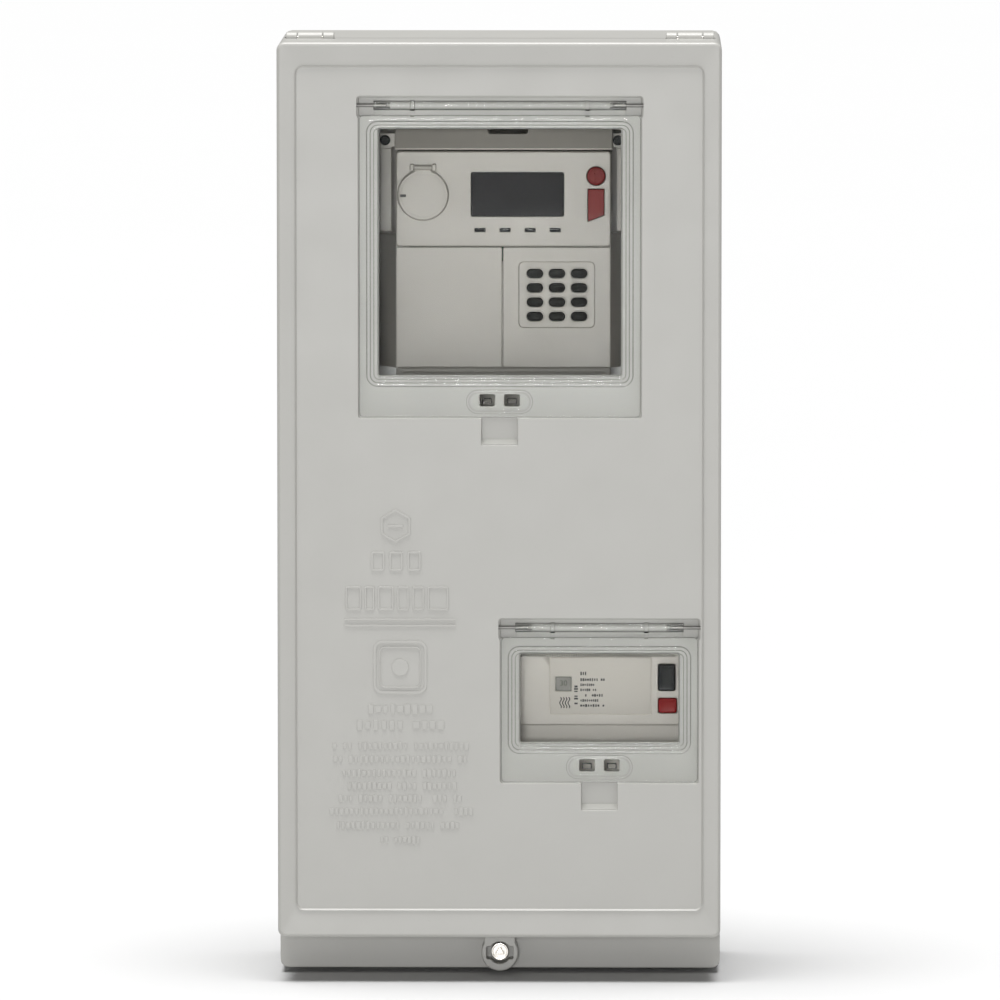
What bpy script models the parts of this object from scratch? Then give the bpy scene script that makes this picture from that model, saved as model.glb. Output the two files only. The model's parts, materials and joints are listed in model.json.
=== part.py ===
"""Prepayment electricity meter and service breaker in a wall enclosure.

Units are metres. X points right, the front faces -Y and Z points up. The wall is the plane Y = 0 and the
origin is the centre of the enclosure's back face. Depths are distances in front of the wall, so a point at
depth d has Y = -d.
"""
import math

import bmesh
import bpy
from mathutils import Matrix, Vector

MM = 0.001
GAP = 0.3 * MM

# Enclosure
HALF_WIDTH = 120 * MM
TOP = 254 * MM
BOTTOM = -254 * MM
WALL = 3 * MM
BASE_DEPTH = 90 * MM
BASE_CORNER = 4.5 * MM
BASE_OPENING = (-112 * MM, 112 * MM, -224 * MM, 246 * MM)
COVER_BOTTOM = -232 * MM
COVER_FRONT = 132 * MM
COVER_EDGE = 2 * MM
PANEL = (-109.5 * MM, 109.8 * MM, -216.4 * MM, 240.6 * MM)
PANEL_DEPTH = 131 * MM
PANEL_BACK = 128.5 * MM
GASKET_WIDTH = 4.2 * MM
GASKET_THICKNESS = 2.7 * MM

# Cover hinge, along X at the top of the joint between base and cover
HINGE_DEPTH = 90.15 * MM
HINGE_RADIUS = 3.5 * MM
HINGE_BORE = 1.8 * MM
HINGE_PIN = 1.5 * MM
HINGE_RELIEF = 4.1 * MM
HINGE_SPANS = ((90 * MM, 96 * MM), (96.4 * MM, 109.6 * MM), (110 * MM, 116 * MM))

# Lock lug under the cover
LUG_Z = -244 * MM
LUG_RADIUS = 10 * MM
LUG_FRONT = 104 * MM
LUG_FLOOR = 92.8 * MM
LUG_HOLE = 6 * MM
LUG_SLOT = (7.3 * MM, 3.5 * MM)
LOCK_HEAD = 4.8 * MM
LOCK_SHANK = 1.9 * MM
INSERT_RADIUS = 4 * MM

# Windows in the cover: outline, aperture, latch and hinge
WINDOW_BACK = 127.8 * MM
WINDOW_FRONT = 130.3 * MM
WINDOW_RIDGE = 131.8 * MM
REBATE_DEPTH = 127.5 * MM
TUB_DEPTH = 122.5 * MM
TUB_WALL = 3 * MM
REBATE_GAP = 0.4 * MM
BARREL_RADIUS = 2.6 * MM
BARREL_DEPTH = 128.4 * MM
BARREL_DROP = 4 * MM
POCKET = 7.7 * MM
PIN_RADIUS = 1.0 * MM
PIN_BORE = 1.3 * MM
PIN_LENGTH = 18 * MM
UPPER_WINDOW = (-75.6 * MM, 76.4 * MM, 51.1 * MM, 223.8 * MM)
UPPER_APERTURE = (-65.1 * MM, 65.9 * MM, 73.5 * MM, 207.3 * MM)
UPPER_LATCH_X = 0.2 * MM
LOWER_WINDOW = (1.0 * MM, 107.6 * MM, -147.4 * MM, -59.1 * MM)
LOWER_APERTURE = (11.3 * MM, 97.3 * MM, -125.9 * MM, -77.2 * MM)
LOWER_LATCH_X = 54.3 * MM

# Meter
METER_LEFT = -66 * MM
METER_RIGHT = 69.5 * MM
METER_BOTTOM = 76 * MM
METER_TOP = 206 * MM
METER_BACK = 11.8 * MM
METER_RIM = 60 * MM
METER_FRONT = 87 * MM
FACE = (-56.8 * MM, 60.3 * MM, 74.5 * MM, 192.6 * MM)
FACE_SPLIT_Z = 140.6 * MM
FACE_SPLIT_X = 1.3 * MM
SHOULDER_Z = 147 * MM
PANEL_THICKNESS = 2.3 * MM
DISPLAY = (-15.9 * MM, 34.7 * MM, 157.0 * MM, 181.2 * MM)
LED_CENTRES = tuple(x * MM for x in (-10.9, 2.7, 16.3, 29.9))
LED_Z = 149.7 * MM
LED_SIZE = (5.3 * MM, 1.5 * MM)
FLAP = (-41.9 * MM, 168.8 * MM)
FLAP_RADIUS = 13.6 * MM
FLAP_AXIS_Z = 183.8 * MM
FLAP_AXIS_DEPTH = 89.2 * MM
PLUG = (52.1 * MM, 179.1 * MM)
PLUG_RADIUS = 4.95 * MM
KEYPAD = (10.2 * MM, 51.3 * MM, 96.6 * MM, 132.3 * MM)
KEY_COLUMNS = tuple(x * MM for x in (18.9, 30.9, 42.9))
KEY_ROWS = tuple(z * MM for z in (126.0, 118.2, 110.4, 102.6))
KEY_SIZE = (8.4 * MM, 4.6 * MM)
KEY_FLANGE = 0.6 * MM
EAR_SCREWS = (-63.1 * MM, 63.9 * MM)
EAR_SCREW_Z = 197.0 * MM
EAR_TOP = 200.8 * MM

# Breaker
BREAKER = (9.3 * MM, 98.9 * MM, -165 * MM, -58 * MM)
BREAKER_BACK = 12.3 * MM
BREAKER_SPLIT = 80 * MM
BREAKER_STEP = 84 * MM
BREAKER_FRONT = 92 * MM
NOSE = (9.3 * MM, 98.9 * MM, -120.4 * MM, -69 * MM)
ON_BUTTON = (86.3 * MM, 95.3 * MM, -101.2 * MM, -87.0 * MM)
OFF_BUTTON = (86.3 * MM, 96.3 * MM, -113.6 * MM, -105.6 * MM)
RATING = (30.2 * MM, 39.0 * MM, -101.7 * MM, -93.8 * MM)
DIAL_CENTRE = (34.6 * MM, -90.8 * MM)
DIAL_RADIUS = 12 * MM

# Carriers, entries and wiring
PLATE = (-76 * MM, 80 * MM, 38 * MM, 226 * MM)
PLATE_DEPTHS = (9 * MM, 11.5 * MM)
RAIL_X = (-8 * MM, 112 * MM)
RAIL_Z = -110 * MM
GROMMET_X = (-55 * MM, 55 * MM)
GROMMET_DEPTH = 45 * MM
GROMMET_HOLE = 12 * MM
WALL_HOLE_X = 95 * MM
WALL_HOLE_Z = 200 * MM
WALL_HOLE_RADIUS = 3 * MM
TERMINALS = (-54 * MM, 57 * MM, 44 * MM, 75.7 * MM)
TERMINAL_X = (-40.5 * MM, -13.5 * MM, 13.5 * MM, 40.5 * MM)
TERMINAL_DEPTH = 32 * MM
WIRE_RADIUS = 3 * MM
WIRE_BORE = 3.8 * MM
BREAKER_ENTRIES = (38 * MM, 70 * MM)


def remove_everything():
    """Empty the scene that Blender starts with."""
    for thing in list(bpy.data.objects):
        bpy.data.objects.remove(thing, do_unlink=True)


def material(name, colour, roughness, metallic=0.0, alpha=1.0):
    """Make one Principled material; colour is linear RGB."""
    made = bpy.data.materials.new(name)
    made.use_nodes = True
    shader = made.node_tree.nodes["Principled BSDF"]
    shader.inputs["Base Color"].default_value = (*colour, 1.0)
    shader.inputs["Roughness"].default_value = roughness
    shader.inputs["Metallic"].default_value = metallic
    shader.inputs["Alpha"].default_value = alpha
    made.diffuse_color = (*colour, alpha)
    return made


def add_object(name, mesh, finish=None):
    """Put a mesh in the scene under a name, with its material."""
    thing = bpy.data.objects.new(name, mesh)
    bpy.context.scene.collection.objects.link(thing)
    if finish:
        mesh.materials.append(finish)
    return thing


def finish_mesh(name, shape, finish, smooth_angle=None):
    """Turn a bmesh into an object whose faces point outwards."""
    bmesh.ops.recalc_face_normals(shape, faces=shape.faces)
    mesh = bpy.data.meshes.new(name)
    shape.to_mesh(mesh)
    shape.free()
    if smooth_angle:
        mesh.shade_smooth()
        mesh.set_sharp_from_angle(angle=math.radians(smooth_angle))
    return add_object(name, mesh, finish)


def loft(name, loops, finish=None, smooth_angle=None):
    """Close a stack of outlines, each a list of 3-D points in the same order, into one body."""
    shape = bmesh.new()
    rings = [[shape.verts.new(point) for point in loop] for loop in loops]
    count = len(rings[0])
    for lower, upper in zip(rings, rings[1:]):
        for i in range(count):
            following = (i + 1) % count
            shape.faces.new((lower[i], lower[following], upper[following], upper[i]))
    shape.faces.new(rings[0])
    shape.faces.new(rings[-1])
    return finish_mesh(name, shape, finish, smooth_angle)


def rounded(x0, x1, z0, z1, radius=0.0, steps=3):
    """Outline of a rectangle in X and Z with rounded corners, anticlockwise from the front."""
    if not radius:
        return [(x0, z0), (x1, z0), (x1, z1), (x0, z1)]
    corners = ((x1 - radius, z0 + radius, -90), (x1 - radius, z1 - radius, 0),
               (x0 + radius, z1 - radius, 90), (x0 + radius, z0 + radius, 180))
    points = []
    for centre_x, centre_z, start in corners:
        for step in range(steps + 1):
            angle = math.radians(start + 90 * step / steps)
            points.append((centre_x + radius * math.cos(angle), centre_z + radius * math.sin(angle)))
    return points


def circle(centre_x, centre_z, radius, sides=24):
    """Outline of a circle in X and Z."""
    turn = 2 * math.pi / sides
    return [(centre_x + radius * math.cos(i * turn), centre_z + radius * math.sin(i * turn)) for i in range(sides)]


def grown(rectangle, margin):
    """A rectangle (x0, x1, z0, z1) that is larger by a margin on every side."""
    x0, x1, z0, z1 = rectangle
    return (x0 - margin, x1 + margin, z0 - margin, z1 + margin)


def slab(name, outline, back, front, finish=None, smooth_angle=None):
    """Extrude an outline in X and Z between two depths."""
    loops = [[(x, -depth, z) for x, z in outline] for depth in (back, front)]
    return loft(name, loops, finish, smooth_angle)


def block(name, rectangle, back, front, finish=None, radius=0.0):
    """A box between two depths, with its upright edges rounded if a radius is given."""
    return slab(name, rounded(*rectangle, radius), back, front, finish)


def eased_block(name, rectangle, back, front, finish, radius, ease, steps=3):
    """A block whose front edge is rounded over by a small radius."""
    loops = [[(x, -back, z) for x, z in rounded(*rectangle, radius, steps)]]
    for step in range(4):
        angle = math.radians(30 * step)
        inset = ease * (1 - math.cos(angle))
        depth = front - ease * (1 - math.sin(angle))
        ring = rounded(*grown(rectangle, -inset), radius - inset * 0.5, steps)
        loops.append([(x, -depth, z) for x, z in ring])
    return loft(name, loops, finish, 40)


def turned(name, profile, origin, axis, finish=None, sides=24, smooth_angle=40):
    """Spin a closed profile of (radius, distance along the axis) about an axis through a point."""
    direction = Vector(axis).normalized()
    turn_to_axis = direction.to_track_quat("Z", "Y").to_matrix().to_4x4()
    place = Matrix.Translation(Vector(origin)) @ turn_to_axis
    shape = bmesh.new()
    rings = []
    for side in range(sides):
        angle = 2 * math.pi * side / sides
        ring = []
        for radius, along in profile:
            if radius == 0 and side:
                ring.append(rings[0][len(ring)])
                continue
            point = place @ Vector((radius * math.cos(angle), radius * math.sin(angle), along))
            ring.append(shape.verts.new(point))
        rings.append(ring)
    count = len(profile)
    for side in range(sides):
        here = rings[side]
        there = rings[(side + 1) % sides]
        for i in range(count):
            following = (i + 1) % count
            corners = [here[i], here[following], there[following], there[i]]
            unique = list(dict.fromkeys(corners))
            if len(unique) > 2:
                shape.faces.new(unique)
    return finish_mesh(name, shape, finish, smooth_angle)


def rod(name, start, end, radius, finish=None, sides=16):
    """A round rod between two points."""
    start = Vector(start)
    reach = Vector(end) - start
    profile = [(0, 0), (radius, 0), (radius, reach.length), (0, reach.length)]
    return turned(name, profile, start, reach, finish, sides)


def boolean(target, tool, operation):
    """Combine a tool into a target, keep the result as the target's mesh and drop the tool."""
    tool.hide_render = True
    tool.display_type = "WIRE"
    modifier = target.modifiers.new(operation.title(), "BOOLEAN")
    modifier.operation = operation
    modifier.solver = "EXACT"
    modifier.object = tool
    evaluated = target.evaluated_get(bpy.context.evaluated_depsgraph_get())
    result = bpy.data.meshes.new_from_object(evaluated)
    target.modifiers.clear()
    former = target.data
    target.data = result
    name = former.name
    bpy.data.meshes.remove(former)
    result.name = name
    bpy.data.objects.remove(tool, do_unlink=True)


def cut(target, *tools):
    """Take each tool's volume out of the target."""
    for tool in tools:
        boolean(target, tool, "DIFFERENCE")


def add(target, *tools):
    """Fuse each tool to the target."""
    for tool in tools:
        boolean(target, tool, "UNION")


def pivot(thing, point):
    """Move an object's origin to a point and leave its shape where it is."""
    point = Vector(point)
    thing.data.transform(Matrix.Translation(-point))
    thing.location = point


def carry(parent, *children):
    """Parent objects to another without moving them."""
    bpy.context.view_layer.update()
    for child in children:
        child.parent = parent
        child.matrix_parent_inverse = parent.matrix_world.inverted()


def make_finishes():
    """Every material of the model by name."""
    return {
        "housing": material("housing", (0.53, 0.53, 0.50), 0.38),
        "meter_case": material("meter_case", (0.45, 0.43, 0.40), 0.42),
        "clear": material("clear", (0.90, 0.92, 0.92), 0.08, 0.0, 0.3),
        "steel": material("steel", (0.62, 0.60, 0.57), 0.28, 1.0),
        "brass": material("brass", (0.72, 0.52, 0.23), 0.30, 1.0),
        "zinc": material("zinc", (0.55, 0.55, 0.54), 0.40, 1.0),
        "rubber": material("rubber", (0.02, 0.02, 0.02), 0.80),
        "key_rubber": material("key_rubber", (0.012, 0.012, 0.012), 0.55),
        "dark_lens": material("dark_lens", (0.02, 0.02, 0.02), 0.12),
        "black_plastic": material("black_plastic", (0.02, 0.02, 0.022), 0.35),
        "red_plastic": material("red_plastic", (0.42, 0.03, 0.03), 0.35),
        "circuit": material("circuit", (0.02, 0.16, 0.06), 0.45),
        "breaker_case": material("breaker_case", (0.60, 0.57, 0.52), 0.40),
        "ferrite": material("ferrite", (0.06, 0.06, 0.07), 0.60),
        "phase_wire": material("phase_wire", (0.16, 0.06, 0.03), 0.45),
        "neutral_wire": material("neutral_wire", (0.02, 0.07, 0.35), 0.45),
    }


def knuckle(name, side, span, radius, finish=None, sides=20):
    """One stretch of the cover hinge's barrel on the left (-1) or right (+1) side."""
    start = (side * span[0], -HINGE_DEPTH, TOP)
    end = (side * span[1], -HINGE_DEPTH, TOP)
    return rod(name, start, end, radius, finish, sides)


def build_base_housing(finishes):
    """The wall box: tray, front flange, bosses, wall screw holes, cable holes and hinge knuckles."""
    outline = (-HALF_WIDTH, HALF_WIDTH, BOTTOM, TOP)
    base = block("base_housing", outline, 0, BASE_DEPTH, finishes["housing"], BASE_CORNER)
    inner = grown(outline, -WALL)
    cut(base, block("cavity", inner, WALL, BASE_DEPTH - WALL, None, 2 * MM))
    cut(base, block("opening", BASE_OPENING, BASE_DEPTH - 2 * WALL, BASE_DEPTH + WALL, None, 3 * MM))
    boss_half = 5 * MM
    for x in (PLATE[0] + 9 * MM, PLATE[1] - 9 * MM):
        for z in (PLATE[2] + 9 * MM, PLATE[3] - 9 * MM):
            foot = (x - boss_half, x + boss_half, z - boss_half, z + boss_half)
            add(base, block("boss", foot, WALL - 1 * MM, PLATE_DEPTHS[0] - GAP))
    for x in (RAIL_X[0] + 8 * MM, RAIL_X[1] - 8 * MM):
        foot = (x - boss_half, x + boss_half, RAIL_Z - boss_half, RAIL_Z + boss_half)
        add(base, block("boss", foot, WALL - 1 * MM, 4.2 * MM))
    boss_radius = 7.8 * MM
    add(base, slab("lock_boss", circle(0, LUG_Z, boss_radius, 20), 70 * MM, BASE_DEPTH - 1 * MM))
    bore = circle(0, LUG_Z, INSERT_RADIUS + GAP, 20)
    cut(base, slab("lock_bore", bore, 73 * MM, BASE_DEPTH + 1 * MM))
    for x in GROMMET_X:
        start = (x, -GROMMET_DEPTH, BOTTOM - 1 * MM)
        end = (x, -GROMMET_DEPTH, BOTTOM + WALL + 1 * MM)
        cut(base, rod("cable_hole", start, end, GROMMET_HOLE, None, 24))
        for z in (-WALL_HOLE_Z, WALL_HOLE_Z):
            wall_hole = circle(math.copysign(WALL_HOLE_X, x), z, WALL_HOLE_RADIUS, 16)
            cut(base, slab("wall_hole", wall_hole, -1 * MM, WALL + 1 * MM))
    inner_span, middle_span, outer_span = HINGE_SPANS
    clearance = 0.35 * MM
    for side in (-1, 1):
        relief = (middle_span[0] - clearance, middle_span[1] + clearance)
        cut(base, knuckle("relief", side, relief, HINGE_RELIEF))
        for span in (inner_span, outer_span):
            add(base, knuckle("knuckle", side, span, HINGE_RADIUS))
        bore_span = (inner_span[0] - 1 * MM, outer_span[1] + 1 * MM)
        cut(base, knuckle("bore", side, bore_span, HINGE_BORE, None, 12))
    return base


def window_seat(cover, window, aperture, latch_x):
    """Shape the cover's seat for one window: backing, rebate, hinge pocket, aperture and latch slots."""
    x0, x1, z0, z1 = window
    notch_half = 9.7 * MM
    notch_height = 15 * MM
    backing = grown(window, REBATE_GAP + TUB_WALL)
    add(cover, block("backing", backing, TUB_DEPTH, PANEL_BACK + 1 * MM))
    notch_back = (latch_x - notch_half - 3 * MM, latch_x + notch_half + 3 * MM,
                  z0 - notch_height - 3 * MM, z0 + 1 * MM)
    add(cover, block("notch_backing", notch_back, TUB_DEPTH, PANEL_BACK + 1 * MM))
    rebate = grown(window, REBATE_GAP)
    cut(cover, block("rebate", rebate, REBATE_DEPTH, COVER_FRONT + 1 * MM))
    hinge_zone = (rebate[0], rebate[1], z1 - 10 * MM, rebate[3])
    cut(cover, block("hinge_zone", hinge_zone, BARREL_DEPTH - 3.2 * MM, COVER_FRONT + 2 * MM))
    cut(cover, block("aperture", aperture, TUB_DEPTH - 1 * MM, REBATE_DEPTH + 1 * MM))
    slot_z = (z0 + 5.8 * MM, z0 + 12.6 * MM)
    post_half = 2.6 * MM
    slot_reach = 10.8 * MM
    for side in (-1, 1):
        ends = sorted((latch_x + side * post_half, latch_x + side * slot_reach))
        cut(cover, block("latch_slot", (*ends, *slot_z), TUB_DEPTH - 1 * MM, REBATE_DEPTH + 1 * MM))
    floor = 126 * MM
    ramp_top = z0 - notch_height + 3 * MM
    ramp_bottom = z0 - notch_height
    profile = [(floor, z0 + 2 * MM), (floor, ramp_top), (PANEL_DEPTH + 0.01 * MM, ramp_bottom),
               (COVER_FRONT + 1 * MM, ramp_bottom), (COVER_FRONT + 1 * MM, z0 + 2 * MM)]
    sides = [[(latch_x + side * notch_half, -depth, z) for depth, z in profile] for side in (-1, 1)]
    cut(cover, loft("finger_notch", sides))
    axis_z = z1 - BARREL_DROP
    start = (x0 - REBATE_GAP - TUB_WALL - 1 * MM, -BARREL_DEPTH, axis_z)
    end = (x1 + REBATE_GAP + TUB_WALL + 1 * MM, -BARREL_DEPTH, axis_z)
    cut(cover, rod("pin_bore", start, end, PIN_BORE, None, 12))


def build_front_cover(finishes):
    """The cover: shell, recessed panel, gasket land, lock lug, window seats and hinge knuckles."""
    outline = (-HALF_WIDTH, HALF_WIDTH, COVER_BOTTOM, TOP)
    back = BASE_DEPTH + GAP
    cover = eased_block("front_cover", outline, back, COVER_FRONT, finishes["housing"], BASE_CORNER, COVER_EDGE)
    cut(cover, block("cavity", grown(outline, -WALL), back - 1 * MM, PANEL_BACK, None, 2 * MM))
    cut(cover, block("panel", PANEL, PANEL_DEPTH, COVER_FRONT + 1 * MM, None, 2.5 * MM))
    land_back = back + GASKET_THICKNESS + GAP
    land = block("land", grown(outline, -WALL + 1 * MM), land_back, land_back + 2.2 * MM)
    land_hole = grown(outline, -WALL - GASKET_WIDTH)
    cut(land, block("land_hole", land_hole, land_back - 1 * MM, land_back + 4 * MM, None, 3 * MM))
    add(cover, land)
    window_seat(cover, UPPER_WINDOW, UPPER_APERTURE, UPPER_LATCH_X)
    window_seat(cover, LOWER_WINDOW, LOWER_APERTURE, LOWER_LATCH_X)
    lug = slab("lug", circle(0, LUG_Z, LUG_RADIUS, 28), back, LUG_FRONT)
    neck = (-8.5 * MM, 8.5 * MM, LUG_Z, COVER_BOTTOM + 1.5 * MM)
    add(lug, block("neck", neck, back, LUG_FRONT))
    add(cover, lug)
    cut(cover, slab("lug_hole", circle(0, LUG_Z, LUG_HOLE, 24), LUG_FLOOR, LUG_FRONT + 1 * MM))
    slot_half, slot_height = LUG_SLOT
    slot = (-slot_half, slot_half, LUG_Z - slot_height, LUG_Z + slot_height)
    cut(cover, block("lug_slot", slot, LUG_FLOOR, LUG_FRONT + 1 * MM))
    shank_hole = circle(0, LUG_Z, LOCK_SHANK + 0.6 * MM, 16)
    cut(cover, slab("shank_hole", shank_hole, back - 1 * MM, LUG_FLOOR + 1 * MM))
    inner_span, middle_span, outer_span = HINGE_SPANS
    clearance = 0.35 * MM
    for side in (-1, 1):
        for span in (inner_span, outer_span):
            relief = (span[0] - clearance, span[1] + clearance)
            cut(cover, knuckle("relief", side, relief, HINGE_RELIEF))
        add(cover, knuckle("knuckle", side, middle_span, HINGE_RADIUS))
        bore_span = (middle_span[0] - 1 * MM, middle_span[1] + 1 * MM)
        cut(cover, knuckle("bore", side, bore_span, HINGE_BORE, None, 12))
    pivot(cover, (0, -HINGE_DEPTH, TOP))
    return cover


def build_cover_gasket(finishes):
    """Rubber ring between the base flange and the cover's land."""
    side = HALF_WIDTH - WALL - GAP
    outer = (-side, side, COVER_BOTTOM + WALL + GAP, TOP - HINGE_RELIEF - GAP)
    back = BASE_DEPTH + GAP
    front = back + GASKET_THICKNESS
    gasket = block("cover_gasket", outer, back, front, finishes["rubber"], 2 * MM)
    hole = grown((-HALF_WIDTH, HALF_WIDTH, COVER_BOTTOM, TOP), -WALL - GASKET_WIDTH)
    cut(gasket, block("hole", hole, back - 1 * MM, front + 1 * MM, None, 3 * MM))
    pivot(gasket, (0, -HINGE_DEPTH, TOP))
    return gasket


def build_hinge_pin(name, side, finishes):
    """Steel pin through the three knuckles of one cover hinge."""
    span = (HINGE_SPANS[0][0] + 0.5 * MM, HINGE_SPANS[2][1] - 0.5 * MM)
    return knuckle(name, side, span, HINGE_PIN, finishes["steel"], 12)


def build_lock(finishes):
    """The lock screw with its triangular drive in a round shroud, and the brass bush it turns into."""
    head_back = LUG_FLOOR + GAP
    head_front = head_back + 6 * MM
    socket = 3.8 * MM
    screw = slab("cover_lock_screw", circle(0, LUG_Z, LOCK_HEAD, 24), head_back, head_front, finishes["steel"], 40)
    cut(screw, slab("shroud", circle(0, LUG_Z, socket, 24), head_front - 4 * MM, head_front + 1 * MM))
    triangle = circle(0, 0, 3.2 * MM, 3)
    upright = [(-z, LUG_Z + x) for x, z in triangle]
    add(screw, slab("drive", upright, head_front - 4.5 * MM, head_front - 0.5 * MM))
    shank_back = 76 * MM
    add(screw, slab("shank", circle(0, LUG_Z, LOCK_SHANK, 16), shank_back, head_back + 1 * MM))
    pivot(screw, (0, -head_front, LUG_Z))
    bush_bore = LOCK_SHANK + 1.0 * MM
    bush = slab("lock_insert", circle(0, LUG_Z, INSERT_RADIUS, 20), 74 * MM, BASE_DEPTH - GAP, finishes["brass"], 40)
    cut(bush, slab("bush_bore", circle(0, LUG_Z, bush_bore, 16), 73 * MM, BASE_DEPTH + 1 * MM))
    return screw, bush


def build_window(name, window, aperture, latch_x, finishes):
    """A clear window: plate, raised frame, hinge barrel, latch bump and two snap prongs."""
    x0, x1, z0, z1 = window
    axis_z = z1 - BARREL_DROP
    hinge_x0 = x0 + POCKET
    hinge_x1 = x1 - POCKET
    plate_top = z1 - 9.2 * MM
    plate = block(name, (x0, x1, z0, plate_top), WINDOW_BACK, WINDOW_FRONT, finishes["clear"], 2.5 * MM)
    add(plate, block("web", (hinge_x0, hinge_x1, plate_top - 5 * MM, axis_z), WINDOW_BACK, WINDOW_FRONT))
    barrel = rod("barrel", (hinge_x0, -BARREL_DEPTH, axis_z), (hinge_x1, -BARREL_DEPTH, axis_z), BARREL_RADIUS)
    add(plate, barrel)
    ridge_rectangle = (aperture[0] - 6.4 * MM, aperture[1] + 6.4 * MM, aperture[2] - 5.6 * MM, aperture[3] + 4 * MM)
    ridge = block("ridge", ridge_rectangle, WINDOW_FRONT - 1 * MM, WINDOW_RIDGE, None, 5 * MM)
    inside = grown(ridge_rectangle, -4 * MM)
    cut(ridge, block("inside", inside, WINDOW_FRONT - 2 * MM, WINDOW_RIDGE + 1 * MM, None, 2.5 * MM))
    add(plate, ridge)
    bump = rounded(latch_x - 18 * MM, latch_x + 18 * MM, z0 + 2 * MM, z0 + 15 * MM, 6.4 * MM, 5)
    add(plate, slab("bump", bump, WINDOW_FRONT - 1 * MM, WINDOW_FRONT + 1 * MM))
    for side in (-1, 1):
        ends = sorted((latch_x + side * 4 * MM, latch_x + side * 9.4 * MM))
        prong = (*ends, z0 + 7.4 * MM, z0 + 10.6 * MM)
        add(plate, block("prong", prong, TUB_DEPTH - 1 * MM, WINDOW_BACK + 1 * MM))
    for end, inward in ((hinge_x0, 1), (hinge_x1, -1)):
        start = (end - inward * 1 * MM, -BARREL_DEPTH, axis_z)
        stop = (end + inward * 9 * MM, -BARREL_DEPTH, axis_z)
        cut(plate, rod("bore", start, stop, PIN_BORE, None, 12))
    pivot(plate, (0.5 * (x0 + x1), -BARREL_DEPTH, axis_z))
    return plate


def build_window_pins(prefix, window, finishes):
    """Steel pins from the cover's side walls into both ends of a window's barrel."""
    x0, x1, _, z1 = window
    axis_z = z1 - BARREL_DROP
    outset = 3.1 * MM
    pins = []
    for side_name, end, inward in (("left", x0 - outset, 1), ("right", x1 + outset, -1)):
        start = (end, -BARREL_DEPTH, axis_z)
        stop = (end + inward * PIN_LENGTH, -BARREL_DEPTH, axis_z)
        pins.append(rod(f"{prefix}_pin_{side_name}", start, stop, PIN_RADIUS, finishes["steel"], 12))
    return pins


def build_carriers(finishes):
    """The zinc plate behind the meter and the top-hat rail behind the breaker."""
    plate = block("meter_plate", PLATE, *PLATE_DEPTHS, finishes["zinc"], 4 * MM)
    slot = (-20 * MM, 20 * MM, 150 * MM, 156 * MM)
    cut(plate, block("slot", slot, PLATE_DEPTHS[0] - 1 * MM, PLATE_DEPTHS[1] + 1 * MM, None, 2.9 * MM))
    half_flange = 17.5 * MM
    half_web = 12.5 * MM
    floor = 4.5 * MM
    crown = 12 * MM
    sheet = 1 * MM
    half = [(crown, half_flange), (crown, half_web - sheet), (floor + sheet, half_web - sheet)]
    back = [(floor, half_web), (crown - sheet, half_web), (crown - sheet, half_flange)]
    profile = half + [(depth, -z) for depth, z in reversed(half)]
    profile += [(depth, -z) for depth, z in reversed(back)] + back
    loops = [[(x, -depth, RAIL_Z + z) for depth, z in profile] for x in RAIL_X]
    rail = loft("breaker_rail", loops, finishes["zinc"])
    return plate, rail


def build_grommet(name, x, finishes):
    """Rubber bush with a flange on both sides of the enclosure's bottom wall."""
    bore = 9 * MM
    neck = GROMMET_HOLE - GAP
    flange = 15 * MM
    lower = -GAP
    upper = WALL + GAP
    profile = [(bore, lower - 2.5 * MM), (flange, lower - 2.5 * MM), (flange, lower), (neck, lower),
               (neck, upper), (flange, upper), (flange, upper + 2.5 * MM), (bore, upper + 2.5 * MM)]
    return turned(name, profile, (x, -GROMMET_DEPTH, BOTTOM), (0, 0, 1), finishes["rubber"], 24)


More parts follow.
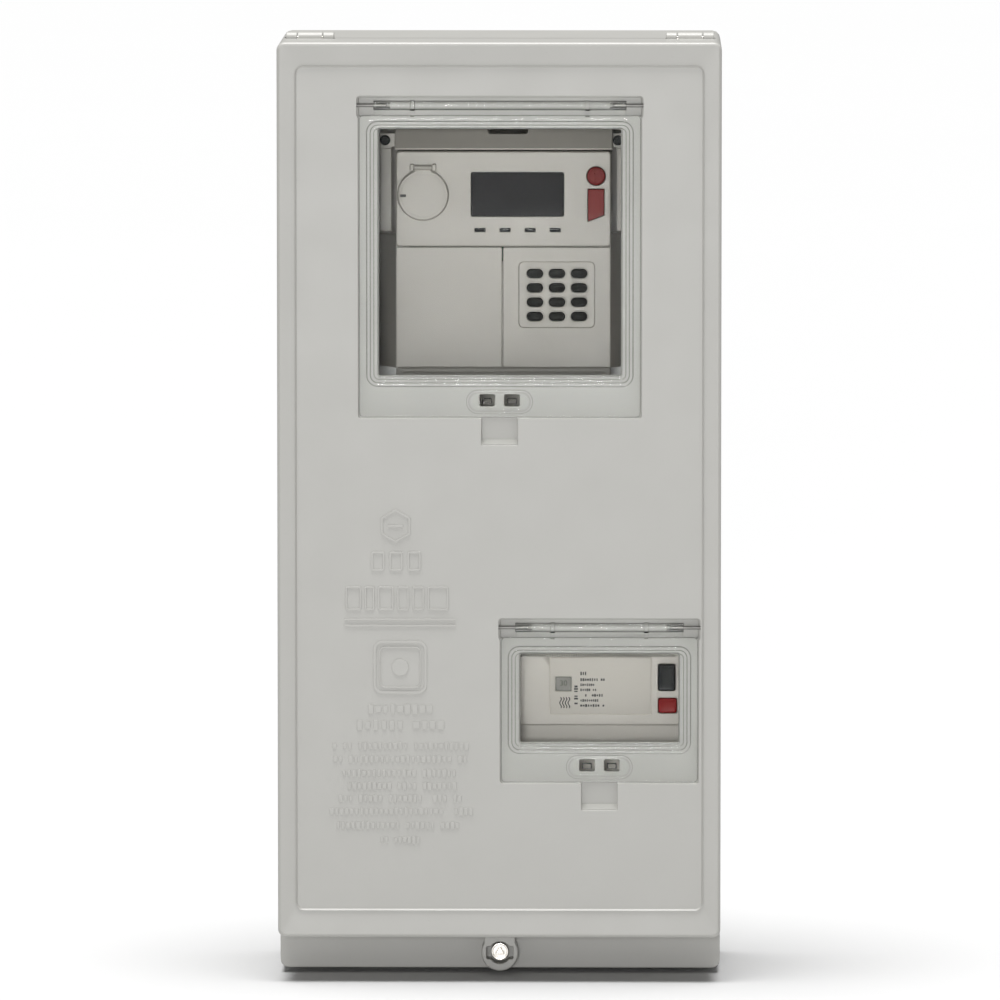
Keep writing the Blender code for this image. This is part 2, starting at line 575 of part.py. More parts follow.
def build_meter_base(finishes):
    """The meter's back tray with ledges beside the head, a sloping hood above it, a hanging slot and two ears."""
    outline = (METER_LEFT, METER_RIGHT, METER_BOTTOM, METER_TOP)
    base = block("meter_base", outline, METER_BACK, METER_RIM, finishes["meter_case"], 2 * MM)
    wall = 2.5 * MM
    strip_z = FACE[3] + 0.6 * MM
    head_x0, head_x1 = FACE[0] - 0.6 * MM, FACE[1] + 0.6 * MM
    mouth_x0, mouth_x1 = FACE[0] - 2.8 * MM, FACE[1] + 2.8 * MM
    ledge_front = METER_RIM - 4 * MM
    ledge_back = ledge_front - wall
    full = (METER_LEFT + wall, METER_RIGHT - wall, METER_BOTTOM + wall)
    cut(base, block("hollow", (*full, strip_z), METER_BACK + wall, ledge_back))
    cut(base, block("mouth", (*full, SHOULDER_Z), ledge_back - 1 * MM, METER_RIM + 1 * MM))
    cut(base, block("head_mouth", (mouth_x0, mouth_x1, SHOULDER_Z - 5 * MM, strip_z), ledge_back - 1 * MM,
                    METER_RIM + 1 * MM))
    for side in ((METER_LEFT - 1 * MM, mouth_x0 + 1 * MM), (mouth_x1 - 1 * MM, METER_RIGHT + 1 * MM)):
        cut(base, block("ledge", (*side, SHOULDER_Z, strip_z - 0.8 * MM), ledge_front, METER_RIM + 1 * MM))
    hood_back, hood_front, brow = METER_RIM - 1 * MM, 85 * MM, 75 * MM
    profile = [(hood_back, strip_z), (hood_front, strip_z), (hood_front, strip_z + 0.8 * MM),
               (brow, METER_TOP - 3 * MM), (brow - 4 * MM, METER_TOP), (hood_back, METER_TOP)]
    sides = [[(x, -depth, z) for depth, z in profile] for x in (head_x0, head_x1)]
    add(base, loft("hood", sides))
    for side in ((METER_LEFT - 1 * MM, head_x0), (head_x1, METER_RIGHT + 1 * MM)):
        cut(base, block("corner", (*side, EAR_TOP, METER_TOP + 1 * MM), METER_BACK - 1 * MM, METER_RIM + 1 * MM))
    hanging_slot = (-6.8 * MM, 15 * MM, METER_TOP - 4.6 * MM, METER_TOP - 1.4 * MM)
    cut(base, block("hanging_slot", hanging_slot, METER_BACK + 10 * MM, hood_front + 1 * MM, None, 1.2 * MM))
    for x in EAR_SCREWS:
        cut(base, slab("screw_hole", circle(x, EAR_SCREW_Z, 1.8 * MM, 12), 40 * MM, METER_RIM + 1 * MM))
    return base


def build_ear_screw(name, x, finishes):
    """Black cross-head screw in one ear of the meter."""
    head_back = METER_RIM + GAP
    head_front = head_back + 2 * MM
    screw = slab(name, circle(x, EAR_SCREW_Z, 2.8 * MM, 20), head_back, head_front, finishes["black_plastic"], 40)
    add(screw, slab("shank", circle(x, EAR_SCREW_Z, 1.4 * MM, 12), 44 * MM, head_back + 0.5 * MM))
    arm = 1.7 * MM
    blade = 0.35 * MM
    for half_x, half_z in ((arm, blade), (blade, arm)):
        cross = (x - half_x, x + half_x, EAR_SCREW_Z - half_z, EAR_SCREW_Z + half_z)
        cut(screw, block("cross", cross, head_front - 0.9 * MM, head_front + 1 * MM))
    return screw


def build_meter_front_case(finishes):
    """The meter's front shell: narrow head above, wide sloping body below, and its openings."""
    face_x0, face_x1, face_z0, face_z1 = FACE
    body_front = METER_FRONT - PANEL_THICKNESS - GAP
    head = (face_x0, face_x1, FACE_SPLIT_Z, face_z1)
    case = eased_block("meter_front_case", head, 50 * MM, METER_FRONT, finishes["meter_case"], 2 * MM, 1 * MM, 2)
    shoulder = METER_RIM + GAP
    knee = 70 * MM
    body_back = rounded(METER_LEFT, METER_RIGHT, face_z0, SHOULDER_Z)
    body_face = rounded(face_x0, face_x1, face_z0, SHOULDER_Z)
    loops = [[(x, -depth, z) for x, z in outline]
             for depth, outline in ((shoulder, body_back), (knee, body_back), (body_front, body_face))]
    add(case, loft("body", loops))
    wall = 2 * MM
    cut(case, block("head_hollow", (face_x0 + wall, face_x1 - wall, FACE_SPLIT_Z - 8 * MM, face_z1 - wall),
                    49 * MM, METER_FRONT - wall))
    lower_z = (face_z0 + wall, SHOULDER_Z - wall)
    inner_back = rounded(METER_LEFT + wall, METER_RIGHT - wall, *lower_z)
    inner_face = rounded(face_x0 + wall, face_x1 - wall, *lower_z)
    inner = [[(x, -depth, z) for x, z in outline]
             for depth, outline in ((shoulder - 1 * MM, inner_back), (knee - 1 * MM, inner_back),
                                    (body_front - wall, inner_face))]
    cut(case, loft("body_hollow", inner))
    front = METER_FRONT + 1 * MM
    deep = METER_FRONT - 4 * MM
    cut(case, block("display_opening", DISPLAY, deep, front, None, 1 * MM))
    half_w, half_h = (0.5 * size + GAP for size in LED_SIZE)
    for x in LED_CENTRES:
        cut(case, block("led_slot", (x - half_w, x + half_w, LED_Z - half_h, LED_Z + half_h), deep, front))
    cut(case, slab("plug_bore", circle(*PLUG, PLUG_RADIUS + 0.35 * MM, 24), deep, front))
    cut(case, slab("port_bore", circle(*FLAP, 12.3 * MM, 28), deep, front))
    cut(case, slab("lens_opening", red_lens_outline(GAP), deep, front))
    key_hole = (KEYPAD[0] + 2 * MM, KEYPAD[1] - 2 * MM, KEYPAD[2] + 1.2 * MM, KEYPAD[3] - 1.2 * MM)
    cut(case, block("key_hole", key_hole, body_front - 4 * MM, METER_FRONT))
    for x in (FLAP[0] - 6 * MM, FLAP[0] + 6 * MM):
        ear = (x - 1 * MM, x + 1 * MM, FLAP_AXIS_Z - 1.8 * MM, FLAP_AXIS_Z + 1.8 * MM)
        add(case, block("flap_ear", ear, METER_FRONT - 1 * MM, FLAP_AXIS_DEPTH + 1.5 * MM))
    start = (FLAP[0] - 8 * MM, -FLAP_AXIS_DEPTH, FLAP_AXIS_Z)
    end = (FLAP[0] + 8 * MM, -FLAP_AXIS_DEPTH, FLAP_AXIS_Z)
    cut(case, rod("flap_bore", start, end, 0.9 * MM, None, 12))
    return case


def red_lens_outline(margin=0.0):
    """Outline of the slanting red lens, grown by a margin."""
    left = 47.8 * MM - margin
    right = 56.4 * MM + margin
    top = 171.9 * MM + margin
    return [(left, 154.4 * MM - margin), (right, 158.0 * MM - margin), (right, top), (left, top)]


def build_meter_panels(finishes):
    """The plain module cover and the keypad bezel on the lower half of the face."""
    back = METER_FRONT - PANEL_THICKNESS
    seam = 0.3 * MM
    bottom = FACE[2] + seam
    top = FACE_SPLIT_Z - seam
    left = (FACE[0] + seam, FACE_SPLIT_X - seam, bottom, top)
    module = eased_block("module_cover", left, back, METER_FRONT, finishes["meter_case"], 1 * MM, 0.5 * MM, 1)
    right = (FACE_SPLIT_X + seam, FACE[1] - seam, bottom, top)
    bezel = eased_block("keypad_bezel", right, back, METER_FRONT, finishes["meter_case"], 1 * MM, 0.5 * MM, 1)
    cut(bezel, block("recess", KEYPAD, METER_FRONT - 0.8 * MM, METER_FRONT + 1 * MM, None, 2.2 * MM))
    for x in KEY_COLUMNS:
        for z in KEY_ROWS:
            cut(bezel, slab("key_hole", key_outline(x, z, GAP), back - 1 * MM, METER_FRONT + 1 * MM))
    return module, bezel


def key_outline(x, z, margin=0.0):
    """Outline of a key with half-round ends, grown by a margin."""
    half_w = 0.5 * KEY_SIZE[0] + margin
    half_h = 0.5 * KEY_SIZE[1] + margin
    return rounded(x - half_w, x + half_w, z - half_h, z + half_h, half_h - 0.05 * MM, 3)


def build_keys(finishes):
    """Twelve rubber keys, each with a retaining flange behind the bezel."""
    keys = []
    flange_back = METER_FRONT - 4.2 * MM
    flange_front = METER_FRONT - PANEL_THICKNESS - GAP
    crown = METER_FRONT - 0.2 * MM
    for row, z in enumerate(KEY_ROWS):
        for column, x in enumerate(KEY_COLUMNS):
            number = 3 * row + column + 1
            flange = key_outline(x, z, KEY_FLANGE)
            body = key_outline(x, z)
            top = key_outline(x, z, -0.5 * MM)
            levels = ((flange_back, flange), (flange_front, flange), (flange_front, body),
                      (crown - 0.5 * MM, body), (crown, top))
            loops = [[(px, -depth, pz) for px, pz in outline] for depth, outline in levels]
            key = loft(f"key_{number:02d}", loops, finishes["key_rubber"])
            pivot(key, (x, -flange_back, z))
            keys.append(key)
    return keys


def build_meter_face_parts(finishes):
    """Display lens, light pipe, red lens, seal plug and optical port plate."""
    lens = block("display_lens", grown(DISPLAY, -GAP), 85.1 * MM, 86.5 * MM, finishes["dark_lens"], 1 * MM)
    half_w, half_h = (0.5 * size for size in LED_SIZE)
    bar = (LED_CENTRES[0] - 5 * MM, LED_CENTRES[-1] + 5 * MM, LED_Z - 2 * MM, LED_Z + 2 * MM)
    pipe = block("light_pipe", bar, 81.5 * MM, 84.6 * MM, finishes["dark_lens"])
    for x in LED_CENTRES:
        stem = (x - half_w, x + half_w, LED_Z - half_h, LED_Z + half_h)
        add(pipe, block("stem", stem, 83.5 * MM, METER_FRONT))
    red = slab("red_lens", red_lens_outline(), 85 * MM, METER_FRONT + 0.4 * MM, finishes["red_plastic"])
    plug = slab("seal_plug", circle(*PLUG, PLUG_RADIUS, 24), 82 * MM, METER_FRONT + 1 * MM,
                finishes["red_plastic"], 40)
    groove = (PLUG[0] - 0.6 * MM, PLUG[0] + 0.6 * MM, PLUG[1] - 3.6 * MM, PLUG[1] + 3.6 * MM)
    cut(plug, block("groove", groove, METER_FRONT - 0.4 * MM, METER_FRONT + 2 * MM))
    pivot(plug, (PLUG[0], -METER_FRONT, PLUG[1]))
    port = slab("optical_port_plate", circle(*FLAP, 12 * MM, 28), 84.8 * MM, 86.8 * MM, finishes["steel"], 40)
    for offset in (-3.25 * MM, 3.25 * MM):
        cut(port, slab("eye", circle(FLAP[0] + offset, FLAP[1], 2.2 * MM, 12), 84 * MM, 88 * MM))
    return lens, pipe, red, plug, port


def build_optical_port_cover(finishes):
    """Round flap with a hinge tongue and moulded trunnions."""
    back = METER_FRONT + 0.4 * MM
    front = back + 2 * MM
    flap = slab("optical_port_cover", circle(*FLAP, FLAP_RADIUS, 32), back, front, finishes["meter_case"], 40)
    tongue_half = 4.6 * MM
    tongue = (FLAP[0] - tongue_half, FLAP[0] + tongue_half, FLAP[1] + 11 * MM, FLAP_AXIS_Z)
    add(flap, block("tongue", tongue, back + 0.5 * MM, front))
    for reach, radius in ((tongue_half, 1.4 * MM), (6.6 * MM, 0.6 * MM)):
        start = (FLAP[0] - reach, -FLAP_AXIS_DEPTH, FLAP_AXIS_Z)
        end = (FLAP[0] + reach, -FLAP_AXIS_DEPTH, FLAP_AXIS_Z)
        add(flap, rod("barrel", start, end, radius, None, 12))
    pivot(flap, (FLAP[0], -FLAP_AXIS_DEPTH, FLAP_AXIS_Z))
    return flap


def build_meter_internals(finishes):
    """Display module, circuit board, key mat, load relay, backup battery, terminals and their cover."""
    display = (-19 * MM, 38 * MM, 154 * MM, 185 * MM)
    lcd = block("lcd_module", display, 74 * MM, 84.6 * MM, finishes["black_plastic"])
    board = block("circuit_board", (-50 * MM, 53.5 * MM, 84 * MM, 186 * MM), 61 * MM, 62.6 * MM, finishes["circuit"])
    mat = block("key_mat", grown(KEYPAD, -2.4 * MM), 78.4 * MM, 80.9 * MM, finishes["key_rubber"], 2 * MM)
    relay = block("load_relay", (8 * MM, 52 * MM, 84 * MM, 128 * MM), 24 * MM, 58 * MM, finishes["black_plastic"])
    start = (-46 * MM, -71.5 * MM, 96 * MM)
    end = (-14 * MM, -71.5 * MM, 96 * MM)
    battery = rod("backup_battery", start, end, 8 * MM, finishes["zinc"], 20)
    terminals = block("terminal_block", TERMINALS, 14 * MM, 52 * MM, finishes["black_plastic"])
    for x in TERMINAL_X:
        bottom = (x, -TERMINAL_DEPTH, TERMINALS[2] - 1 * MM)
        inside = (x, -TERMINAL_DEPTH, TERMINALS[2] + 22 * MM)
        cut(terminals, rod("wire_bore", bottom, inside, WIRE_BORE, None, 12))
        cut(terminals, slab("screw_well", circle(x, TERMINALS[2] + 12 * MM, 3 * MM, 12), 38 * MM, 53 * MM))
    outline = (TERMINALS[0] - 3 * MM, TERMINALS[1] + 3 * MM, TERMINALS[2] - 6 * MM, FACE[2] - 0.5 * MM)
    shell = block("terminal_cover", outline, 40 * MM, 66 * MM, finishes["meter_case"], 2 * MM)
    hollow = (outline[0] + 2 * MM, outline[1] - 2 * MM, outline[2] - 5 * MM, outline[3] + 5 * MM)
    cut(shell, block("hollow", hollow, 39 * MM, 64 * MM))
    return lcd, board, mat, relay, battery, terminals, shell


def build_breaker(finishes):
    """The service breaker: body tray, front cover with its nose, window, dial, toroid and buttons."""
    wall = 2.2 * MM
    body = block("breaker_body", BREAKER, BREAKER_BACK, BREAKER_SPLIT, finishes["breaker_case"], 2 * MM)
    cut(body, block("hollow", grown(BREAKER, -wall), BREAKER_BACK + wall, BREAKER_SPLIT + 1 * MM))
    for x in BREAKER_ENTRIES:
        for z in (BREAKER[3] + 1 * MM, BREAKER[2] + wall + 1 * MM):
            low = (x, -TERMINAL_DEPTH, z - wall - 2 * MM)
            cut(body, rod("entry", low, (x, -TERMINAL_DEPTH, z), WIRE_BORE, None, 12))
    back = BREAKER_SPLIT + GAP
    cover = eased_block("breaker_cover", BREAKER, back, BREAKER_STEP, finishes["breaker_case"], 2 * MM, 0.8 * MM, 2)
    nose = (NOSE[0] + 0.1 * MM, NOSE[1] - 0.1 * MM, NOSE[2], NOSE[3])
    add(cover, eased_block("nose", nose, back + 1 * MM, BREAKER_FRONT, None, 2 * MM, 0.8 * MM, 2))
    side_wall = 1.5 * MM
    cut(cover, block("hollow", grown(BREAKER, -side_wall), back - 1 * MM, BREAKER_STEP - 1.8 * MM))
    cut(cover, block("nose_hollow", grown(NOSE, -side_wall), back, BREAKER_FRONT - 2.2 * MM))
    front = BREAKER_FRONT + 1 * MM
    deep = BREAKER_FRONT - 4 * MM
    for button in (ON_BUTTON, OFF_BUTTON):
        cut(cover, block("button_hole", grown(button, GAP), deep, front, None, 1.1 * MM))
    cut(cover, block("rating_hole", RATING, deep, front, None, 0.6 * MM))
    window = block("rating_window", grown(RATING, -GAP), 90.2 * MM, 91.6 * MM, finishes["clear"], 0.5 * MM)
    dial = slab("rating_dial", circle(*DIAL_CENTRE, DIAL_RADIUS, 28), 87 * MM, 88.6 * MM,
                finishes["black_plastic"], 40)
    pivot(dial, (DIAL_CENTRE[0], -87 * MM, DIAL_CENTRE[1]))
    half = 8 * MM
    ring = [(11 * MM, -half), (20 * MM, -half), (20 * MM, half), (11 * MM, half)]
    toroid = turned("toroid", ring, (54 * MM, -46 * MM, -132 * MM), (0, 0, 1), finishes["ferrite"], 24)
    on_button = eased_block("on_button", ON_BUTTON, 84 * MM, BREAKER_FRONT + 4.3 * MM,
                            finishes["black_plastic"], 1 * MM, 0.6 * MM, 2)
    off_button = eased_block("off_button", OFF_BUTTON, 84 * MM, BREAKER_FRONT + 0.6 * MM,
                             finishes["red_plastic"], 1 * MM, 0.6 * MM, 2)
    return body, cover, window, dial, toroid, on_button, off_button


def smooth_route(points, count):
    """Points along a Catmull-Rom curve through the given points."""
    ends = [points[0] * 2 - points[1]] + points + [points[-1] * 2 - points[-2]]
    spans = len(points) - 1
    route = []
    for i in range(count + 1):
        place = spans * i / count
        span = min(int(place), spans - 1)
        t = place - span
        a, b, c, d = ends[span:span + 4]
        route.append(0.5 * (2 * b + (c - a) * t + (2 * a - 5 * b + 4 * c - d) * t ** 2
                            + (3 * b - a - 3 * c + d) * t ** 3))
    return route


def build_link_wire(name, terminal_x, entry_x, bow, finish):
    """Insulated link from one meter terminal down into the breaker's top entry."""
    top = TERMINALS[2] + 18 * MM
    entry = BREAKER[3]
    stops = [Vector((terminal_x, -TERMINAL_DEPTH, top)), Vector((terminal_x, -TERMINAL_DEPTH, top - 24 * MM)),
             Vector((terminal_x, -TERMINAL_DEPTH - bow, 12 * MM)),
             Vector((0.5 * (terminal_x + entry_x), -TERMINAL_DEPTH - bow, -12 * MM)),
             Vector((entry_x, -TERMINAL_DEPTH - 0.5 * bow, -34 * MM)),
             Vector((entry_x, -TERMINAL_DEPTH, entry + 6 * MM)), Vector((entry_x, -TERMINAL_DEPTH, entry - 9 * MM))]
    route = smooth_route(stops, 22)
    curve = bpy.data.curves.new(name, "CURVE")
    curve.dimensions = "3D"
    curve.bevel_depth = WIRE_RADIUS
    curve.bevel_resolution = 2
    curve.use_fill_caps = True
    spline = curve.splines.new("POLY")
    spline.points.add(len(route) - 1)
    for point, place in zip(spline.points, route):
        point.co = (*place, 1)
    curve.materials.append(finish)
    wire = bpy.data.objects.new(name, curve)
    bpy.context.scene.collection.objects.link(wire)
    return wire


def main():
    """Build every piece in the order it would go on a bench."""
    remove_everything()
    finishes = make_finishes()
    build_base_housing(finishes)
    cover = build_front_cover(finishes)
    gasket = build_cover_gasket(finishes)
    build_hinge_pin("cover_hinge_pin_left", -1, finishes)
    build_hinge_pin("cover_hinge_pin_right", 1, finishes)
    lock_screw, _ = build_lock(finishes)
    upper = build_window("upper_window", UPPER_WINDOW, UPPER_APERTURE, UPPER_LATCH_X, finishes)
    lower = build_window("lower_window", LOWER_WINDOW, LOWER_APERTURE, LOWER_LATCH_X, finishes)
    pins = build_window_pins("upper_window", UPPER_WINDOW, finishes)
    pins += build_window_pins("lower_window", LOWER_WINDOW, finishes)
    carry(cover, gasket, lock_screw, upper, lower, *pins)
    build_carriers(finishes)
    build_grommet("cable_grommet_left", GROMMET_X[0], finishes)
    build_grommet("cable_grommet_right", GROMMET_X[1], finishes)
    build_meter_base(finishes)
    case = build_meter_front_case(finishes)
    build_meter_panels(finishes)
    build_keys(finishes)
    build_meter_face_parts(finishes)
    flap = build_optical_port_cover(finishes)
    carry(case, flap)
    build_meter_internals(finishes)
    build_ear_screw("ear_screw_left", EAR_SCREWS[0], finishes)
    build_ear_screw("ear_screw_right", EAR_SCREWS[1], finishes)
    build_breaker(finishes)
    build_link_wire("phase_link_wire", TERMINAL_X[2], BREAKER_ENTRIES[0], 4 * MM, finishes["phase_wire"])
    build_link_wire("neutral_link_wire", TERMINAL_X[3], BREAKER_ENTRIES[1], 12 * MM, finishes["neutral_wire"])


main()
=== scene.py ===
"""Looks for a prepayment electricity meter that shares a wall enclosure with a service breaker.

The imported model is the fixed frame: it gives every place and size. This script replaces or dresses its
pieces with finished surfaces. Lengths are in metres. X points right, the front faces -Y and Z points up.
A depth is a distance in front of the wall, so a point at depth d has Y = -d.
"""
import json
import logging
import math
from dataclasses import dataclass
from enum import Enum
from typing import Iterable, Sequence

import bmesh
import bpy
from bpy.types import Material, Node, NodeSocket, NodeTree, Object
from mathutils import Matrix, Vector


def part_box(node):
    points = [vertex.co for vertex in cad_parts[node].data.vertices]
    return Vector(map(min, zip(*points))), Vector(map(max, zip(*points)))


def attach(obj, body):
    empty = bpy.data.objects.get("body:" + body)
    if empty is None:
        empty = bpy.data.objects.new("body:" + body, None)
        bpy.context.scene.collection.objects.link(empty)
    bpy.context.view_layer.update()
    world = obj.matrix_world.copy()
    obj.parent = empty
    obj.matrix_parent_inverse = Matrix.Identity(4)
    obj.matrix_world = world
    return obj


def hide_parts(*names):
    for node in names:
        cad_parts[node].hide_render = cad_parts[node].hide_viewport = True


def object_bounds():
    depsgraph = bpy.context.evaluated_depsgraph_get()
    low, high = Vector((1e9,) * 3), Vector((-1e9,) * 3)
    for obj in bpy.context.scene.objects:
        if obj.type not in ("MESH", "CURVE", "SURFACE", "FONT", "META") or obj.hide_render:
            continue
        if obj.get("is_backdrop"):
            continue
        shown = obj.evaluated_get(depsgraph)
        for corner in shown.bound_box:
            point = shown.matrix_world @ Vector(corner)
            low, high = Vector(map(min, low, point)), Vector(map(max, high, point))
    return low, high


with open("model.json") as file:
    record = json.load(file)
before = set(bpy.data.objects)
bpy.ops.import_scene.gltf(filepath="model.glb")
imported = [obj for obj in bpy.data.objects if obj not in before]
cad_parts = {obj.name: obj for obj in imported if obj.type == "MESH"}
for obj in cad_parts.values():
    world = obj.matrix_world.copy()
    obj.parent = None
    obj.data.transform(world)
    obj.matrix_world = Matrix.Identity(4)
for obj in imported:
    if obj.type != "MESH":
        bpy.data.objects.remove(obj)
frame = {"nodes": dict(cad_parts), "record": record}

MM = 0.001
CAD_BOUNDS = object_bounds()
BODY_OF_NODE = {node: body for body, nodes in frame["record"]["behaviour"]["bodies"].items() for node in nodes}
SLOT_OF_NODE = {part["node"]: part["material_slot"] for part in frame["record"]["subparts"]}
log = logging.getLogger("meter")

Colour = tuple[float, float, float]
Outline = list[tuple[float, float]]
Ring = list[Vector]
Levels = list[tuple[Outline, float]]
Profile = list[tuple[float, float]]
Input = object


class Body(Enum):
    """The rigid bodies that added pieces ride on."""

    HOUSING = "housing"
    COVER = "cover"
    PORT_FLAP = "port_flap"
    RATING_DIAL = "rating_dial"


class Cut(str, Enum):
    """How a tool changes its target."""

    AWAY = "DIFFERENCE"
    JOIN = "UNION"


# --------------------------------------------------------------------------------------------------
# Node graphs
# --------------------------------------------------------------------------------------------------


class Wire:
    """One output socket, with arithmetic that adds Math nodes."""

    def __init__(self, graph: "Graph", socket: NodeSocket) -> None:
        """Hold a socket and the graph it belongs to."""
        self.graph = graph
        self.socket = socket

    def _math(self, operation: str, other: Input, reflected: bool = False) -> "Wire":
        """Add one Math node.

        Args:
            operation: The Math node's operation.
            other: The other operand, a number or a wire.
            reflected: True when this wire is the second operand.

        Returns:
            The node's result.
        """
        first, second = (other, self) if reflected else (self, other)
        node = self.graph.add("ShaderNodeMath", {0: first, 1: second}, operation=operation)
        return Wire(self.graph, node.outputs[0])

    def __add__(self, other: Input) -> "Wire":
        """Add a number or a wire."""
        return self._math("ADD", other)

    def __radd__(self, other: Input) -> "Wire":
        """Add this wire to a number."""
        return self._math("ADD", other, True)

    def __sub__(self, other: Input) -> "Wire":
        """Subtract a number or a wire."""
        return self._math("SUBTRACT", other)

    def __rsub__(self, other: Input) -> "Wire":
        """Subtract this wire from a number."""
        return self._math("SUBTRACT", other, True)

    def __mul__(self, other: Input) -> "Wire":
        """Multiply by a number or a wire."""
        return self._math("MULTIPLY", other)

    def __rmul__(self, other: Input) -> "Wire":
        """Multiply a number by this wire."""
        return self._math("MULTIPLY", other, True)

    def __truediv__(self, other: Input) -> "Wire":
        """Divide by a number or a wire."""
        return self._math("DIVIDE", other)

    def above(self, edge: Input) -> "Wire":
        """Give 1 where this wire is greater than an edge, else 0."""
        return self._math("GREATER_THAN", edge)

    def wave(self) -> "Wire":
        """Give the sine of this wire."""
        return self._math("SINE", 0.0)


class Graph:
    """A node tree with one method that adds any kind of node."""

    def __init__(self, tree: NodeTree) -> None:
        """Wrap a node tree."""
        self.tree = tree

    def add(self, kind: str, inputs: dict | None = None, **settings: Input) -> Node:
        """Add a node.

        Args:
            kind: The node's type.
            inputs: Values, sockets or wires for the node's inputs, by name or index.
            settings: Attributes to set before the inputs.

        Returns:
            The new node.
        """
        node = self.tree.nodes.new(kind)
        for key, value in settings.items():
            setattr(node, key, value)
        for key, value in (inputs or {}).items():
            source = value.socket if isinstance(value, Wire) else value
            if isinstance(source, NodeSocket):
                self.tree.links.new(source, node.inputs[key])
            else:
                node.inputs[key].default_value = source
        return node

    def wire(self, node: Node, output: int | str = 0) -> Wire:
        """Wrap one of a node's outputs."""
        return Wire(self, node.outputs[output])


class Paint(Graph):
    """A material under construction."""

    def __init__(self, name: str) -> None:
        """Start an empty material of the given name."""
        self.material = bpy.data.materials.new(name)
        self.material.use_nodes = True
        super().__init__(self.material.node_tree)
        self.tree.nodes.clear()
        self.place = self.add("ShaderNodeTexCoord").outputs["Object"]

    def stretched(self, scale: Sequence[float]) -> NodeSocket:
        """Give object coordinates multiplied by a scale for each axis."""
        return self.add("ShaderNodeMapping", {"Vector": self.place, "Scale": tuple(scale)}).outputs[0]

    def noise(self, size: float, detail: float = 2.0, stretch: Sequence[float] | None = None) -> Wire:
        """Add a noise texture.

        Args:
            size: The size of its features in metres.
            detail: The number of finer layers.
            stretch: Scale for each axis, for a directional grain.

        Returns:
            The noise value, about 0.5 on average.
        """
        vector = self.stretched(stretch) if stretch else self.place
        values = {"Vector": vector, "Scale": 1.0 / size, "Detail": detail}
        return self.wire(self.add("ShaderNodeTexNoise", values))

    def blend(self, first: Colour, second: Colour, factor: Wire) -> NodeSocket:
        """Mix two colours.

        Args:
            first: Colour where the factor is 0.
            second: Colour where the factor is 1.
            factor: The mix.

        Returns:
            The mixed colour's socket.
        """
        node = self.add("ShaderNodeMix", {0: factor}, data_type="RGBA")
        for index, value in ((6, first), (7, second)):
            if isinstance(value, NodeSocket):
                self.tree.links.new(value, node.inputs[index])
            else:
                node.inputs[index].default_value = (*value, 1.0)
        return node.outputs[2]

    def bump(self, height: Wire, distance: float, strength: float = 1.0) -> NodeSocket:
        """Turn a height from 0 to 1 into a normal, for a relief of the given depth in metres."""
        return self.add("ShaderNodeBump", {"Height": height, "Distance": distance, "Strength": strength}).outputs[0]

    def finish(self, shader: NodeSocket) -> Material:
        """Connect a shader to the output and give the material."""
        self.add("ShaderNodeOutputMaterial", {"Surface": shader})
        return self.material

    def surface(self, inputs: dict[str, Input]) -> Material:
        """Finish the material with one Principled shader that has the given inputs."""
        return self.finish(self.add("ShaderNodeBsdfPrincipled", inputs).outputs[0])


def scaled(colour: Colour, factor: float) -> Colour:
    """Give a colour made lighter or darker by a factor."""
    return tuple(min(1.0, channel * factor) for channel in colour)


# --------------------------------------------------------------------------------------------------
# Finishes
# --------------------------------------------------------------------------------------------------


@dataclass(frozen=True)
class MouldedPlastic:
    """Injection-moulded plastic: fine spark-eroded grain, faint flow mottling and scattered dust specks."""

    name: str
    colour: Colour
    roughness: float = 0.42
    grain_size: float = 0.45 * MM
    grain_depth: float = 0.012 * MM
    mottle: float = 0.018
    specks: float = 0.10
    ior: float = 1.5

    def make(self) -> Material:
        """Build the material."""
        paint = Paint(self.name)
        flow = paint.noise(55 * MM, 3.0, (1.0, 1.0, 0.45))
        cloud = paint.noise(9 * MM, 2.0)
        tone = flow * 0.7 + cloud * 0.3
        body = paint.blend(scaled(self.colour, 1 - self.mottle), scaled(self.colour, 1 + self.mottle), tone)
        fleck = (paint.noise(0.8 * MM, 0.0)).above(0.80) * self.specks
        colour = paint.blend(body, scaled(self.colour, 0.55), fleck)
        grain = paint.noise(self.grain_size, 2.0)
        wear = paint.noise(26 * MM, 4.0)
        roughness = self.roughness - 0.06 + wear * 0.12 + (grain - 0.5) * 0.08
        return paint.surface({"Base Color": colour, "Roughness": roughness, "IOR": self.ior,
                              "Normal": paint.bump(grain, self.grain_depth)})


